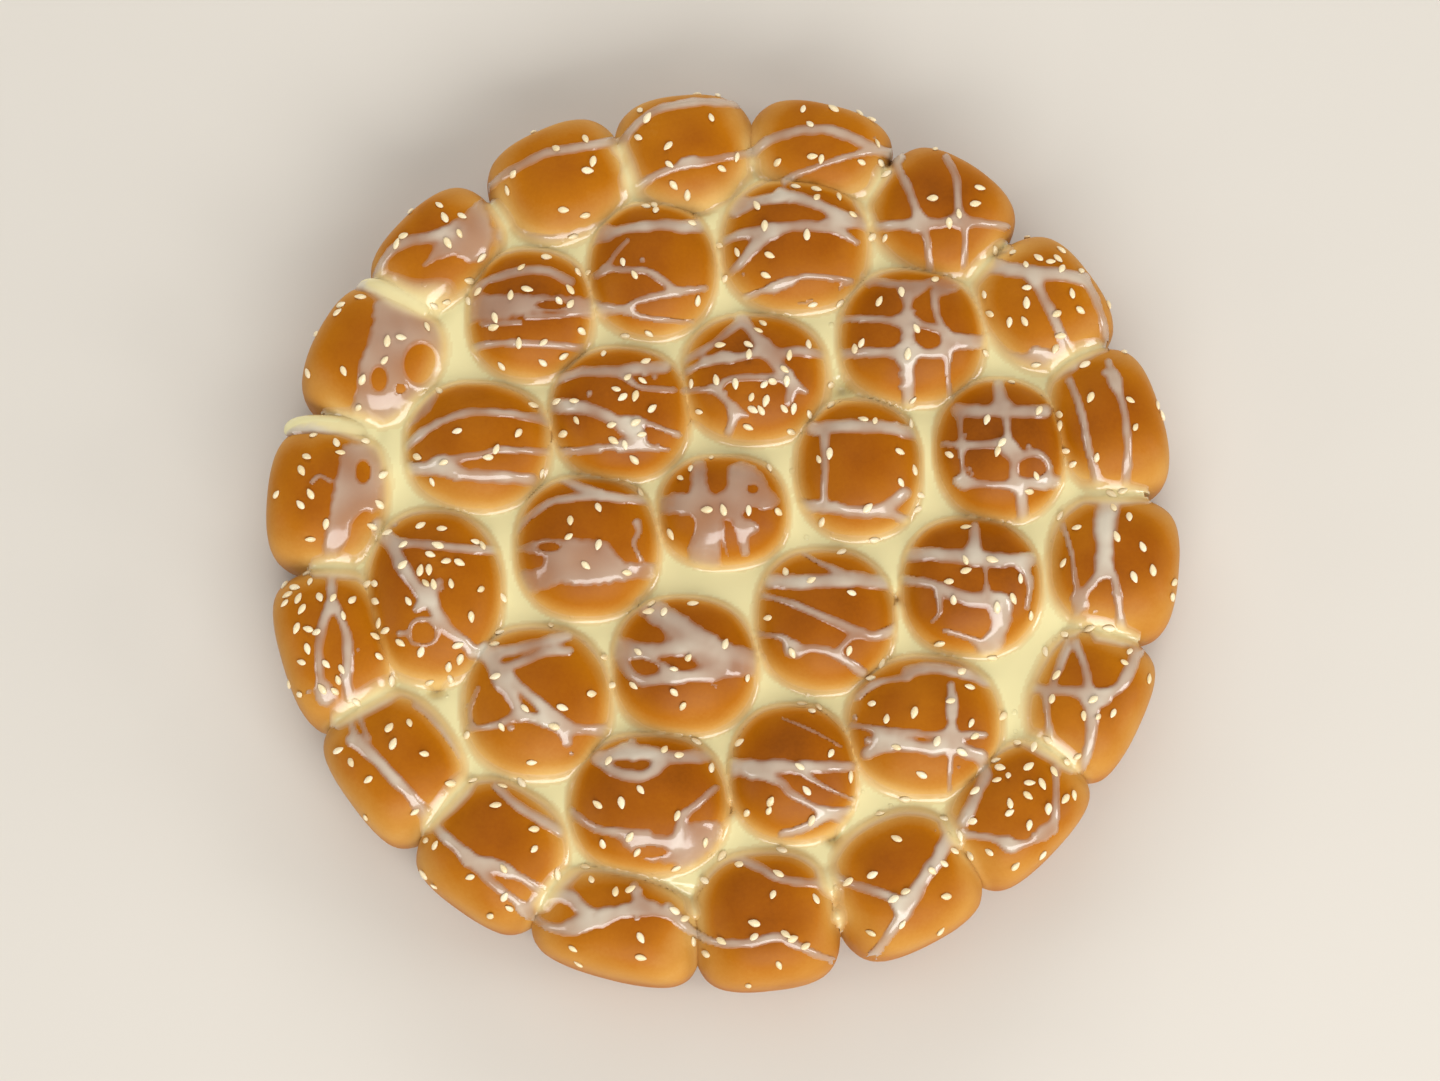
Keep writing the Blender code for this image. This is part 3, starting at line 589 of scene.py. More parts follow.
# Cream that ran out between two outer buns: the crease's place in degrees, then its reach and its width
runs = [
    (5.0, 135, 5.5), (25.5, 132, 4.5), (45.8, 128, 4.5), (66.0, 127, 4.5), (85.8, 119, 3),
    (105.0, 127, 4.5), (124.8, 128, 4.5), (144.3, 135, 7.5), (164.5, 136, 7.5), (186.3, 127, 5.5),
    (206.8, 133, 5.0), (226.0, 130, 4.5), (245.5, 130, 4.5), (265.8, 120, 3), (286.3, 128, 4.5),
    (306, 122, 3), (325, 131, 4.5), (344.5, 134, 5.0),
]
# The ones that hang past the rim: degrees at both ends, the radius reached, half width, the middle's heights
tongues = [(165.5, 166.6, 138.5, 4.4, 29.6, 25.2), (144.7, 145.8, 136.5, 5.0, 32.0, 28.2)]
runValues = {
    "begins": 104 * mm, "slope": 0.1,  # how the level falls outward from here
    "joins": 6 * mm,  # and how far on it takes over from the even level
    "levelled": (0.3, 0.7),  # the part of its way in which a run leaves that slope
    "narrows": 0.3,  # the part of its width that a run loses on its way
    "endDrop": 7 * mm, "endSoft": 2.5 * mm, # its level drops by this at its end, this softly
    "stepOut": 1 * mm, "beyond": 4 * mm,  # a crease is measured at these steps, and past the milk's radius
    "rays": 22, "rayStep": 0.25,  # by this many rays on each side, and their step in degrees
    "smoothed": 2,  # steps on each side that its heights are averaged over
    "tongueStart": 112 * mm, "halfHeight": 3.2 * mm,
    "tipPower": 2.6, "flare": 0.5, "droop": 4,  # a tongue's blunt tip, wide root and late sinking
    "tongueSides": 28, "tongueRings": 40,
}


def smoothRoute(route, steps=5):  # a Catmull-Rom curve through given points
    ends = [route[0]] + list(route) + [route[-1]]
    path = []
    for a, b, c, d in zip(ends, ends[1:], ends[2:], ends[3:]):
        a, b, c, d = (np.array(p, float) for p in (a, b, c, d))
        bend = 2 * a - 5 * b + 4 * c - d
        twist = 3 * b - a - 3 * c + d
        for step in range(steps):
            t = step / steps
            path.append(0.5 * (2 * b + (c - a) * t + bend * t * t + twist * t ** 3))
    path.append(np.array(route[-1], float))
    return path


def alongRoute(pixels, route):  # distance to a route, and how far along it the nearest point lies
    path = smoothRoute(route)
    best = np.full(len(pixels), 1e9)
    part = np.zeros(len(pixels))
    for number, (a, b) in enumerate(zip(path, path[1:])):
        line = b - a
        t = np.clip(((pixels - a) @ line) / max(line @ line, 1e-9), 0, 1)
        away = np.hypot(*(pixels - a - t[:, None] * line).T)
        nearer = away < best
        best[nearer] = away[nearer]
        part[nearer] = (number + t[nearer]) / (len(path) - 1)
    return best, part


def insideOutline(pixels, path):
    inside = np.zeros(len(pixels), bool)
    x, y = pixels.T
    for (ax, ay), (bx, by) in zip(path, path[1:] + path[:1]):
        crossed = (ay > y) != (by > y)
        inside ^= crossed & (x < ax + (bx - ax) * (y - ay) / (by - ay if by != ay else 1e-9))
    return inside


def milkOnCrust(pixels):  # how thick the drizzled milk is at each pixel place, below 0 where there is none
    v = milkValues
    size = photoView["pixel"]
    edge = v["edge"]
    amount = np.full(len(pixels), 1e-9)  # adds up where strands meet, so that they melt together
    tall = np.zeros(len(pixels))
    wobble, flow, thin = (planNoise(pixels, *v[name]) for name in ("widthNoise", "edgeNoise", "heightNoise"))

    def near(route, reach):
        corners = np.array(route, float)
        low, high = corners.min(0) - reach, corners.max(0) + reach
        return np.nonzero(((pixels > low) & (pixels < high)).all(1))[0]

    for route, width, *end in strands:
        some = near(route, width * v["nearPart"] + v["nearPixels"])
        away, part = alongRoute(pixels[some], route)
        half = (width + ((end[0] if end else width) - width) * part) / 2
        half = (half + v["spread"]) * (1 + v["unevenWidth"] * wobble[some] + v["raggedEdge"] * flow[some])
        height = v["beadLimit"] * (1 - np.exp(-v["beadHeight"] * half * size / v["beadLimit"]))
        height = height * (1 + v["unevenHeight"] * thin[some])
        reached = edge ** ((away / half) ** 2)
        amount[some] += reached
        tall[some] += reached * height
    chance = random.Random(v["dropSeed"])
    for _ in range(v["drops"]):
        route, width, *end = chance.choice(strands)
        x, y = chance.choice(smoothRoute(route))
        turn = chance.uniform(0, 2 * math.pi)
        away = width / 2 + chance.uniform(v["dropFrom"], v["dropReach"])
        x, y = x + math.cos(turn) * away, y + math.sin(turn) * away
        radius = chance.uniform(*v["dropSize"])
        some = near([(x, y)], v["nearPixels"])
        away = np.hypot(pixels[some, 0] - x, pixels[some, 1] - y)
        reached = edge ** ((away / (radius * (1 + v["dropRagged"] * flow[some]))) ** 2)
        amount[some] += reached
        tall[some] += reached * radius * size * v["beadHeight"]
    for outline in sheets:
        some = near(outline, v["sheetPixels"])
        around = outline + outline[:1]
        away, _ = alongRoute(pixels[some], around)
        closed = insideOutline(pixels[some], [tuple(p) for p in smoothRoute(around)])
        depth = (np.where(closed, away, -away) + v["sheetRagged"] * flow[some]) / v["sheetEdge"]
        fade = np.exp(-np.abs(depth))
        reached = np.where(depth > 0, 1 - (1 - edge) * fade, edge * fade)
        reached = reached + v["sheetRim"] * np.exp(-((depth - 1) / v["sheetRimWidth"]) ** 2)
        amount[some] += reached
        tall[some] += reached * v["sheet"] * (1 + v["unevenHeight"] * thin[some])
    over = (amount - edge) / (1 - edge)
    rise = 1 - np.exp(-np.maximum(over, 0) * v["steep"])
    thickness = np.where(over > 0, tall / amount * rise, over * v["fallOff"] * mm)
    for x, y, halfX, halfY in bareSpots:
        hole = np.hypot((pixels[:, 0] - x) / halfX, (pixels[:, 1] - y) / halfY)
        thickness = np.minimum(thickness, (hole ** 2 - 1) * v["fallOff"] * mm)
    return np.maximum(thickness, v["bareLimit"])


def runLevels(tree, degrees, radii, widths):  # the heights at which cream fills a crease to these widths
    v = runValues
    step = math.radians(v["rayStep"])
    levels = []
    for radius, width in zip(radii, widths):
        heights = []
        for number in range(-v["rays"], v["rays"] + 1):
            angle = math.radians(degrees) + number * step
            place = castDown(tree, math.cos(angle) * radius, math.sin(angle) * radius)[0]
            heights.append(place.z if place else 0.0)
        levels.append(sorted(heights)[min(int(width / radius / step), 2 * v["rays"])])
    span = 2 * v["smoothed"] + 1
    return np.convolve(np.pad(levels, v["smoothed"], mode="edge"), np.ones(span) / span, mode="valid")


def creamLevelAt(points, pixels, tree):  # the height that the cream reaches at each place of the plan
    v, r = milkValues, runValues
    level = v["level"] + planNoise(points, v["levelScale"], v["levelSeed"]) * v["levelWander"]
    radius = np.hypot(points[:, 0], points[:, 1])
    angle = np.degrees(np.arctan2(points[:, 1], points[:, 0]))
    turns = np.array([np.abs((angle - run[0] + 180) % 360 - 180) for run in runs])
    nearest = np.argmin(turns, axis=0)
    radii = np.arange(r["begins"], v["radius"] + r["beyond"], r["stepOut"])
    outer = np.zeros(len(points))
    for number, (degrees, until, wide) in enumerate(runs):
        part = (radii - r["begins"]) / (until * mm - r["begins"])
        line = runLevels(tree, degrees, radii, wide * mm * (1 - r["narrows"] * np.clip(part, 0, 1)))
        inner = v["level"] - r["slope"] * (radii - r["begins"])
        line = line + np.maximum(inner - line, 0) * (1 - smoothSteps(*r["levelled"], part))
        line = line - r["endDrop"] * smoothSteps(until * mm - r["endSoft"], until * mm + r["endSoft"], radii)
        some = nearest == number
        outer[some] = np.interp(radius[some], radii, line)
    level = level + (outer - level) * smoothSteps(r["begins"], r["begins"] + r["joins"], radius)
    for x, y, size, rise in [(*crack, -v["crackDepth"]) for crack in cracks] + mounds:
        away = np.hypot(pixels[:, 0] - x, pixels[:, 1] - y)
        level = level + rise * mm * np.exp(-(away / size) ** 2)
    return level


def findHeights(tree, points):  # how high the crust stands under each point (-1 off it), and how level it is
    heights = np.full(len(points), -1.0)
    slopes = np.ones(len(points))
    for number, (x, y) in enumerate(points[:, :2].tolist()):
        place, normal, _, _ = castDown(tree, x, y)
        if place:
            heights[number], slopes[number] = place.z, max(normal.z, milkValues["leastSlope"])
    return heights, slopes


def keepPoints(obj, keep):  # leaves the part of a grid that these points span, no cells joined by a corner
    shape = shapeOf(obj)
    shape.verts.ensure_lookup_table()
    gone = [shape.verts[i] for i in np.nonzero(~keep)[0].tolist()]
    while gone:
        bmesh.ops.delete(shape, geom=gone, context="VERTS")
        gone = [v for v in shape.verts
                if not v.link_faces or sum(edge.is_boundary for edge in v.link_edges) > 2]
    storeShape(shape, obj.data)


def closeSlab(obj, drop):  # a thin closed body under an open sheet, its floor this far below
    shape = shapeOf(obj)
    copied = bmesh.ops.extrude_face_region(shape, geom=shape.faces[:], use_keep_orig=True)
    under = [element for element in copied["geom"] if isinstance(element, bmesh.types.BMVert)]
    bmesh.ops.translate(shape, verts=under, vec=(0, 0, -drop))
    bmesh.ops.recalc_face_normals(shape, faces=shape.faces)
    storeShape(shape, obj.data)


def dropScraps(obj, fewest):  # removes loose bits with fewer points than this
    shape = shapeOf(obj)
    seen, scraps = set(), []
    for first in shape.verts:
        if first in seen:
            continue
        piece, fresh = {first}, [first]
        while fresh:
            vertex = fresh.pop()
            near = {edge.other_vert(vertex) for edge in vertex.link_edges} - piece
            piece |= near
            fresh += near
        seen |= piece
        if len(piece) < fewest:
            scraps += piece
    bmesh.ops.delete(shape, geom=scraps, context="VERTS")
    storeShape(shape, obj.data)


def addTongues(collection):  # cream that hangs out past the rim between two buns
    v = runValues
    for degrees, endDegrees, until, halfWidth, high, low in tongues:
        start, end = v["tongueStart"], until * mm
        shape = bmesh.new()
        lyingBall(shape, v["tongueSides"], v["tongueRings"])
        for vertex in shape.verts:
            size = joinedPowers(vertex.co.x, math.hypot(vertex.co.y, vertex.co.z), v["tipPower"])
            along, side, up = vertex.co / size
            part = (along + 1) / 2
            wide = 1 + v["flare"] * (1 - part) ** 2
            turn = math.radians(degrees + (endDegrees - degrees) * part)
            out = Vector((math.cos(turn), math.sin(turn), 0))
            sideways = Vector((-out.y, out.x, 0)) * side * halfWidth * mm * wide
            vertex.co = out * (start + (end - start) * part) + sideways
            vertex.co.z = (high + (low - high) * part ** v["droop"]) * mm + up * v["halfHeight"]
        newObject("tongue", shape, collection)


def layMilk(milk, tree, buns):  # lifts the flat grid to the milk's surface, and keeps it where there is milk
    v = milkValues
    points = pointsOf(milk.data)
    heights, slopes = findHeights(tree, points)
    pixels = toPixels(np.column_stack([points[:, :2], heights]))
    level = creamLevelAt(points, pixels, tree)
    drizzle = milkOnCrust(pixels) / slopes
    above = np.clip(heights - level - v["drainFrom"], 0, v["drainReach"])
    lean = v["filmLean"] * sideOf(buns, points) * smoothSteps(v["leanFrom"], v["leanFull"], heights - level)
    climb = np.logaddexp(0, (level + lean - heights) / v["filmClimb"]) * v["filmClimb"]
    pool = climb - v["filmEdge"] - v["drain"] * above
    thick = np.logaddexp(pool / v["melt"], drizzle / v["melt"]) * v["melt"]
    inside = np.hypot(points[:, 0], points[:, 1]) < v["radius"] - v["grid"]
    keep = (thick > -v["sunk"]) & (heights > v["lowest"]) & inside
    points[:, 2] = heights + np.maximum(thick, -v["sunk"])
    setPoints(milk.data, points)
    keepPoints(milk, keep)


def measureMilk(milk, tree, buns):  # what its material reads: the film's depth, the crust's tone, the pools
    v = milkValues
    points = pointsOf(milk.data)
    heights, slopes = findHeights(tree, points)
    heights = np.where(heights < 0, points[:, 2] - v["slab"], np.minimum(heights, points[:, 2]))
    film = (points[:, 2] - heights) * slopes
    ground = np.column_stack([points[:, :2], heights])
    level = creamLevelAt(points, toPixels(ground), tree)
    pool = smoothSteps(-v["poolFades"], v["poolFull"], level - heights)
    setAttribute(milk.data, "film", film / mm)
    # the crust's tone under the milk: browning with painted light on the near flanks
    setAttribute(milk.data, "bakeAndPaintedLight", bakeAndPaintedLightOf(buns, ground))
    setAttribute(milk.data, "pool", np.maximum(pool, smoothSteps(v["beadLimit"], v["beadLimit"] * 2, film)))


def makeMilk(crust, buns):
    v = milkValues
    tree = BVHTree.FromObject(crust, bpy.context.evaluated_depsgraph_get())
    count = int(2 * v["radius"] / v["grid"])
    shape = bmesh.new()
    bmesh.ops.create_grid(shape, x_segments=count, y_segments=count, size=v["radius"])
    milk = newObject("milkCream", shape)
    layMilk(milk, tree, buns)
    closeSlab(milk, v["slab"])
    print("milk sheet", len(milk.data.polygons), "faces")
    hanging = newCollection("tongues")
    addTongues(hanging)
    combine(milk, "UNION", hanging)
    cutter = newCollection("crust cutter")
    plain = makeCrust(buns, "crustCutter", bunValues["cutFineness"], bunValues["cutInset"])
    bpy.context.scene.collection.objects.unlink(plain)
    cutter.objects.link(plain)
    combine(milk, "DIFFERENCE", cutter)
    dropScraps(milk, v["scrap"])
    measureMilk(milk, tree, buns)
    return milk


# Sesame seeds: how many lie on each bun, and where a cluster of them leans (photograph pixels)

seedValues = {
    "length": 3.5 * mm, "width": 2.15 * mm, "thick": 1.35 * mm,
    "sides": 8, "rings": 7,
    "uneven": 0.13, "sunk": 0.28,  # part of its thickness that lies below the surface
    "point": 0.34, "pointFrom": -0.2, "blunt": 0.06, "bluntFrom": 0.3,  # how its ends narrow
    "lean": 0.16,  # how tilted seeds lie
    "apart": 2.4 * mm, "cluster": 4.5 * mm, "tries": 60, "seed": 5,
    "turnEach": 137.5, "turnUneven": 30, "outmost": 0.94,  # how they go around a bun, and how far out
}
seedCounts = [
    9,
    16, 14, 7, 12, 8, 14,
    14, 10, 18, 10, 24, 14, 14, 12, 16, 12, 10, 9,
    12, 12, 10, 12, 12, 14, 22, 10, 14, 12, 16, 14, 18, 14, 12, 12, 16, 10,
]
seedClusters = [
    (770, 395, 8), (633, 427, 7), (1012, 785, 9), (430, 560, 9), (300, 590, 8), (1050, 262, 6), (760, 400, 5),
]


def addSeed(shape, ball, tint, chance, hit):  # one drop-shaped seed, pressed a little into what it lies on
    v = seedValues
    size = 1 + chance.uniform(-1, 1) * v["uneven"]
    place = Matrix.Translation(hit[0] + hit[1] * v["thick"] * (0.5 - v["sunk"]) * size)
    turn = hit[1].to_track_quat("Z", "Y").to_matrix().to_4x4()
    turn = turn @ Matrix.Rotation(chance.uniform(0, 2 * math.pi), 4, "Z")
    for axis in ("X", "Y"):
        turn = turn @ Matrix.Rotation(chance.gauss(0, v["lean"]), 4, axis)
    before = len(shape.verts)
    shape.from_mesh(ball)
    shape.verts.ensure_lookup_table()
    shade = chance.random()
    for vertex in shape.verts[before:]:
        along, side, up = vertex.co
        pointed = v["point"] * smoothSteps(v["pointFrom"], 1.0, along)
        narrow = 1 - pointed - v["blunt"] * smoothSteps(v["bluntFrom"], -1.0, along)
        measures = along * v["length"], side * narrow * v["width"], up * narrow * v["thick"]
        vertex.co = place @ turn @ (Vector(measures) * size / 2)
        vertex[tint] = shade


def makeSeeds(buns, crust, milk):
    v = seedValues
    chance = random.Random(v["seed"])
    graph = bpy.context.evaluated_depsgraph_get()
    trees = [BVHTree.FromObject(obj, graph) for obj in (crust, milk)]
    shape = bmesh.new()
    lyingBall(shape, v["sides"], v["rings"])
    ball = bpy.data.meshes.new("ball")
    shape.to_mesh(ball)
    shape.clear()
    tint = shape.verts.layers.float.new("tint")
    laid = []

    def lay(x, y):
        if any(math.hypot(x - a, y - b) < v["apart"] for a, b in laid):
            return False
        hits = [hit for hit in (castDown(tree, x, y) for tree in trees) if hit[0]]
        if not hits:
            return False
        laid.append((x, y))
        addSeed(shape, ball, tint, chance, max(hits, key=lambda hit: hit[0].z))
        return True

    for x, y, count in seedClusters:
        middle = fromPixel(x, y)
        for _ in range(count):
            lay(middle.x + chance.gauss(0, v["cluster"]), middle.y + chance.gauss(0, v["cluster"]))
    for bun, count in zip(buns, seedCounts):
        first, placed = chance.uniform(0, 360), 0
        for number in range(v["tries"]):
            if placed < count:
                degrees = first + number * v["turnEach"] + chance.uniform(-v["turnUneven"], v["turnUneven"])
                placed += lay(*bun.rimPoint(degrees, v["outmost"] * math.sqrt(chance.random())))
    bpy.data.meshes.remove(ball)
    print("seeds", len(laid))
    return newObject("sesameSeeds", shape)


# Finish

def toLinear(red, green, blue):  # a colour as it shows on a screen, 0 to 255
    parts = [part / 255 for part in (red, green, blue)]
    parts = [part / 12.92 if part <= 0.04045 else ((part + 0.055) / 1.055) ** 2.4 for part in parts]
    return (*parts, 1)


def newGroup(name, inputs, outputs):
    group = bpy.data.node_groups.new(name, "ShaderNodeTree")
    for label, kind in inputs:
        group.interface.new_socket(name=label, in_out="INPUT", socket_type=kind)
    for label, kind in outputs:
        group.interface.new_socket(name=label, in_out="OUTPUT", socket_type=kind)
    return group, group.nodes.new("NodeGroupInput"), group.nodes.new("NodeGroupOutput")


def addNode(tree, kind, **values):
    node = tree.nodes.new(kind)
    for name, value in values.items():
        setattr(node, name, value)
    return node


def setSockets(node, values):
    for name, value in values.items():
        node.inputs[name].default_value = value


def attributeNode(tree, name):
    return addNode(tree, "ShaderNodeAttribute", attribute_name=name).outputs["Fac"]


def mathNode(tree, operation, first, second=None):
    node = addNode(tree, "ShaderNodeMath", operation=operation)
    for socket, value in zip(node.inputs, (first, second)):
        if isinstance(value, (int, float)):
            socket.default_value = value
        elif value is not None:
            tree.links.new(value, socket)
    return node.outputs[0]


def rangeNode(tree, value, low, high, least=0.0, most=1.0):  # least at low and most at high, held in between
    node = addNode(tree, "ShaderNodeMapRange")
    setSockets(node, {"From Min": low, "From Max": high, "To Min": least, "To Max": most})
    tree.links.new(value, node.inputs["Value"])
    return node.outputs["Result"]


def rampNode(tree, factor, stops):
    ramp = addNode(tree, "ShaderNodeValToRGB")
    elements = ramp.color_ramp.elements
    while len(elements) < len(stops):
        elements.new(0.5)
    for element, (place, colour) in zip(elements, stops):
        element.position = place
        element.color = toLinear(*colour)
    tree.links.new(factor, ramp.inputs[0])
    return ramp.outputs[0]


def noiseNode(tree, place, scale, detail, roughness=0.5):
    node = addNode(tree, "ShaderNodeTexNoise")
    setSockets(node, {"Scale": scale, "Detail": detail, "Roughness": roughness})
    tree.links.new(place, node.inputs["Vector"])
    return node.outputs["Fac"]


def mixColours(tree, factor, first, second):
    node = addNode(tree, "ShaderNodeMix", data_type="RGBA")
    tree.links.new(factor, node.inputs[0])
    for socket, value in zip((node.inputs[6], node.inputs[7]), (first, second)):
        if isinstance(value, tuple):
            socket.default_value = value
        else:
            tree.links.new(value, socket)
    return node.outputs[2]


crustTones = [
    (0.0, (222, 192, 126)), (0.22, (208, 165, 94)), (0.45, (190, 133, 54)), (0.68, (171, 101, 3)),
    (0.88, (147, 78, 0)), (1.0, (124, 62, 0)),
]
crustShade = {
    "grains": [(90, 4, 0.08), (900, 2, 0.04)],  # blotches and specks: scale, detail and strength
    "roughness": 0.48, "gloss": 0.17,
    "wrinkle": (260, 5, 0.6),  # scale, detail and roughness
    "bump": (0.12, 0.4 * mm),  # strength and distance
    "sharp": 48,  # edges sharper than this many degrees aren't smoothed
}
milkShade = {
    "drizzleTones": [
        (0.0, (170, 134, 108)), (0.08, (166, 141, 122)), (0.15, (184, 166, 147)), (0.28, (206, 196, 176)),
    ],
    "poolTones": [
        (0.0, (216, 178, 112)), (0.1, (216, 188, 132)), (0.3, (222, 206, 152)), (1.0, (228, 218, 164)),
    ],
    "bubbleScale": 240, "bubbleReach": 0.22, "bubbleShare": 0.12, "bubbleHeight": 0.5 * mm,
    "deepest": 4.0,  # film, in millimetres, at the end of the tones
    "clear": 0.4,  # film, in millimetres, that hides two thirds of the crust below it
    "roughness": 0.15, "gloss": 0.5, "coat": 0.4, "coatRoughness": 0.08,
    "wet": 0.25,  # film, in millimetres, that shines in full
    "ripple": (170, 2, 0.4), "rippleHeight": 0.4, "bump": 0.6, "sharp": 60,
}
seedShade = {
    "pale": (244, 232, 200), "dark": (222, 196, 140),
    "roughness": 0.32, "coat": 0.3, "coatRoughness": 0.15, "grain": (900, 3), "bump": (0.1, 0.2 * mm),
}


def crustToneGroup():  # the colour that the crust has under the milk too, painted light on its near flanks included
    group, given, put = newGroup(
        "crustTone", [("Bake", "NodeSocketFloat"), ("Place", "NodeSocketVector")],
    [("Color", "NodeSocketColor")])
    bakeAndPaintedLight = given.outputs["Bake"]
    for scale, detail, strength in crustShade["grains"]:
        grain = mathNode(group, "SUBTRACT", noiseNode(group, given.outputs["Place"], scale, detail), 0.5)
        bakeAndPaintedLight = mathNode(group, "ADD", bakeAndPaintedLight, mathNode(group, "MULTIPLY", grain, strength * 2))
    group.links.new(rampNode(group, bakeAndPaintedLight, crustTones), put.inputs["Color"])
    return group


def bubbleGroup():  # the height of small round bubbles, here and there
    v = milkShade
    group, given, put = newGroup("bubbles", [("Place", "NodeSocketVector")], [("Height", "NodeSocketFloat")])
    cells = addNode(group, "ShaderNodeTexVoronoi")
    cells.inputs["Scale"].default_value = v["bubbleScale"]
    group.links.new(given.outputs["Place"], cells.inputs["Vector"])
    inward = rangeNode(group, cells.outputs["Distance"], v["bubbleReach"], 0.0)
    outward = mathNode(group, "SUBTRACT", 1.0, inward)
    square = mathNode(group, "MULTIPLY", outward, outward)
    dome = mathNode(group, "SQRT", mathNode(group, "SUBTRACT", 1.0, square))
    parts = addNode(group, "ShaderNodeSeparateColor")
    group.links.new(cells.outputs["Color"], parts.inputs["Color"])
    chosen = mathNode(group, "LESS_THAN", parts.outputs["Red"], v["bubbleShare"])
    group.links.new(mathNode(group, "MULTIPLY", dome, chosen), put.inputs["Height"])
    return group


def newMaterial(name):
    material = bpy.data.materials.new(name)
    material.use_nodes = True
    tree = material.node_tree
    return material, tree, tree.nodes["Principled BSDF"]


def toneIn(tree, group):  # the crust's tone, from the piece's own attribute and object coordinates; the attribute holds browning and painted light
    tone = addNode(tree, "ShaderNodeGroup", node_tree=group)
    place = addNode(tree, "ShaderNodeTexCoord").outputs["Object"]
    tree.links.new(attributeNode(tree, "bakeAndPaintedLight"), tone.inputs["Bake"])
    tree.links.new(place, tone.inputs["Place"])
    return tone.outputs["Color"], place


def addBump(tree, shader, height, strength, distance):
    bump = addNode(tree, "ShaderNodeBump")
    setSockets(bump, {"Strength": strength, "Distance": distance})
    tree.links.new(height, bump.inputs["Height"])
    tree.links.new(bump.outputs["Normal"], shader.inputs["Normal"])


def crustMaterial(group):
    v = crustShade
    material, tree, shader = newMaterial("goldenCrust")
    tone, place = toneIn(tree, group)
    tree.links.new(tone, shader.inputs["Base Color"])
    setSockets(shader, {"Roughness": v["roughness"], "Specular IOR Level": v["gloss"]})
    addBump(tree, shader, noiseNode(tree, place, *v["wrinkle"]), *v["bump"])
    return material


def milkMaterial(group):
    v = milkShade
    material, tree, shader = newMaterial("milkCream")
    tone, place = toneIn(tree, group)
    film, pool = attributeNode(tree, "film"), attributeNode(tree, "pool")
    depth = mathNode(tree, "DIVIDE", film, v["deepest"])
    drizzle, cream = (rampNode(tree, depth, v[name]) for name in ("drizzleTones", "poolTones"))
    clear = mathNode(tree, "EXPONENT", mathNode(tree, "MULTIPLY", film, -1 / v["clear"]))
    cover = mathNode(tree, "SUBTRACT", 1.0, clear)
    colour = mixColours(tree, cover, tone, mixColours(tree, pool, drizzle, cream))
    wet = rangeNode(tree, film, 0.0, v["wet"])
    roughness = rangeNode(tree, wet, 0, 1, crustShade["roughness"], v["roughness"])
    coat = rangeNode(tree, wet, 0, 1, 0, v["coat"])
    for value, name in ((colour, "Base Color"), (roughness, "Roughness"), (coat, "Coat Weight")):
        tree.links.new(value, shader.inputs[name])
    setSockets(shader, {"Specular IOR Level": v["gloss"], "Coat Roughness": v["coatRoughness"]})
    bubbles = addNode(tree, "ShaderNodeGroup", node_tree=bubbleGroup())
    tree.links.new(place, bubbles.inputs["Place"])
    ripple = mathNode(tree, "MULTIPLY", noiseNode(tree, place, *v["ripple"]), v["rippleHeight"])
    relief = mathNode(tree, "ADD", ripple, mathNode(tree, "MULTIPLY", bubbles.outputs["Height"], pool))
    addBump(tree, shader, relief, v["bump"], v["bubbleHeight"])
    return material


def seedMaterial():
    v = seedShade
    material, tree, shader = newMaterial("sesame")
    place = addNode(tree, "ShaderNodeTexCoord").outputs["Object"]
    grain = noiseNode(tree, place, *v["grain"])
    mixed = mathNode(tree, "MULTIPLY", mathNode(tree, "ADD", attributeNode(tree, "tint"), grain), 0.5)
    colour = mixColours(tree, mixed, toLinear(*v["pale"]), toLinear(*v["dark"]))
    tree.links.new(colour, shader.inputs["Base Color"])
    setSockets(shader, {"Roughness": v["roughness"], "Coat Weight": v["coat"]})
    setSockets(shader, {"Coat Roughness": v["coatRoughness"]})
    addBump(tree, shader, grain, *v["bump"])
    return material


# Floor, light and camera

studio = {
    "floor": (206, 200, 190), "floorSize": 8.0, "floorRoughness": 0.8,
    "aim": (0, 0, 0),
    "boxes": [  # name, place, size, power, and whether the glaze mirrors it
        ("keyLight", (0.36, -1.53, 1.19), (2.2, 1.1), 43, True),
        ("leftLight", (-1.71, -0.36, 0.65), (0.54, 0.81), 5, True),
        ("rightLight", (1.71, -0.36, 0.65), (0.54, 0.81), 10, True),
        ("fillLight", (-0.36, 0.72, 2.16), (2.5, 2.5), 15, False),
        ("backLight", (0.0, 1.71, 0.9), (1.8, 0.72), 20, False),
    ],
    "sky": (0.8, 0.78, 0.75), "skyStrength": 0.27,
}


def placeObject(name, data, place, ahead):  # a light or a camera that looks along this direction
    obj = bpy.data.objects.new(name, data)
    bpy.context.scene.collection.objects.link(obj)
    obj.location = place
    obj.rotation_euler = Vector(ahead).to_track_quat("-Z", "Y").to_euler()
    return obj


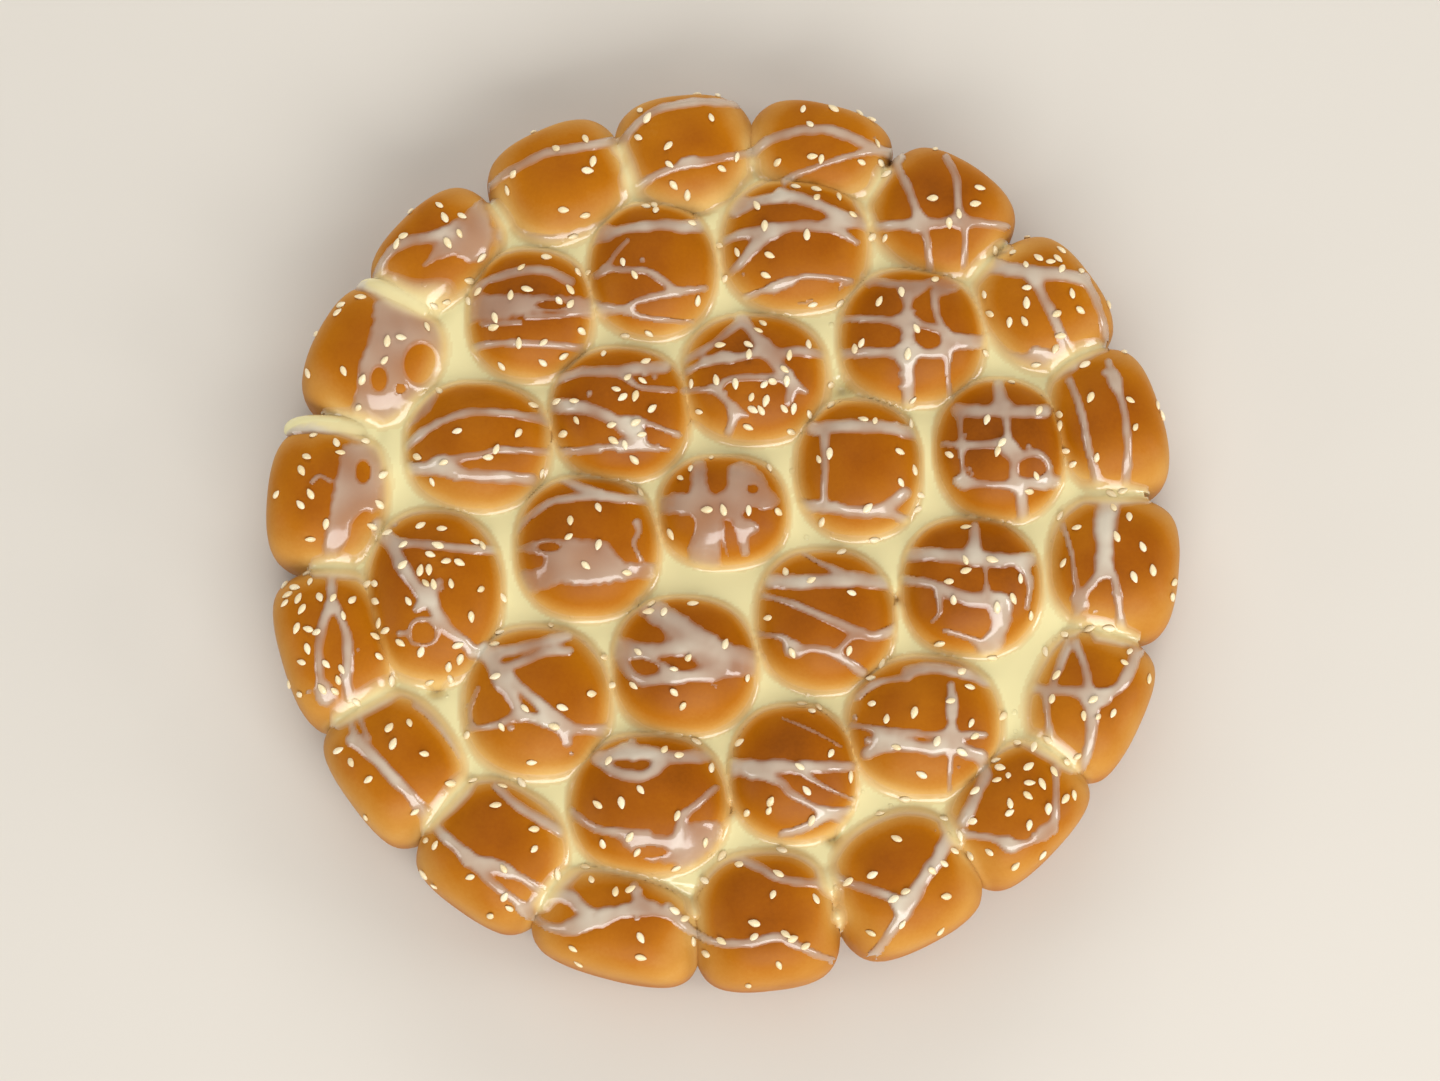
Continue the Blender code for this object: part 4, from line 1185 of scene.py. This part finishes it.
def addSoftBox(name, place, size, power, mirrored):
    light = bpy.data.lights.new(name, "AREA")
    light.shape = "RECTANGLE"
    (light.size, light.size_y), light.energy = size, power
    box = placeObject(name, light, place, Vector(studio["aim"]) - Vector(place))
    box.visible_glossy = mirrored


def makeStudio():
    v = studio
    shape = bmesh.new()
    bmesh.ops.create_grid(shape, x_segments=1, y_segments=1, size=v["floorSize"])
    floor = newObject("studioFloor", shape)
    material, _, shader = newMaterial("paleFloor")
    setSockets(shader, {"Base Color": toLinear(*v["floor"]), "Roughness": v["floorRoughness"]})
    floor.data.materials.append(material)
    for row in v["boxes"]:
        addSoftBox(*row)
    world = bpy.data.worlds.new("studio")
    world.use_nodes = True
    setSockets(world.node_tree.nodes["Background"], {"Color": (*v["sky"], 1), "Strength": v["skyStrength"]})
    bpy.context.scene.world = world
    bpy.context.scene.view_settings.view_transform = "Standard"


def makeCamera():
    place, ahead, _, _, _ = cameraAxes()
    camera = bpy.data.cameras.new("photoCamera")
    camera.lens, camera.sensor_width = photoView["lens"], photoView["sensor"]
    camera.clip_start = photoView["clipStart"]
    bpy.context.scene.camera = placeObject("photoCamera", camera, place, ahead)


def finishPiece(obj, material, node, sharp=None):
    obj.data.materials.clear()
    obj.data.materials.append(material)
    obj.data.shade_smooth()
    if sharp:
        obj.data.set_sharp_from_angle(angle=math.radians(sharp))
    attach(obj, "root")
    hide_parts(node)


buns = layBuns()
crust = makeCrust(buns, "bunCrust", bunValues["fineness"])
# the crust's tone: browning with painted light on the near flanks
setAttribute(crust.data, "bakeAndPaintedLight", bakeAndPaintedLightOf(buns, pointsOf(crust.data)))
print("crust", len(crust.data.polygons), "faces")
milk = makeMilk(crust, buns)
print("milk", len(milk.data.polygons), "faces")
seeds = makeSeeds(buns, crust, milk)
crustTone = crustToneGroup()
finishPiece(crust, crustMaterial(crustTone), "bread", crustShade["sharp"])
finishPiece(milk, milkMaterial(crustTone), "milk_cream", milkShade["sharp"])
finishPiece(seeds, seedMaterial(), "bread")
makeStudio()
makeCamera()
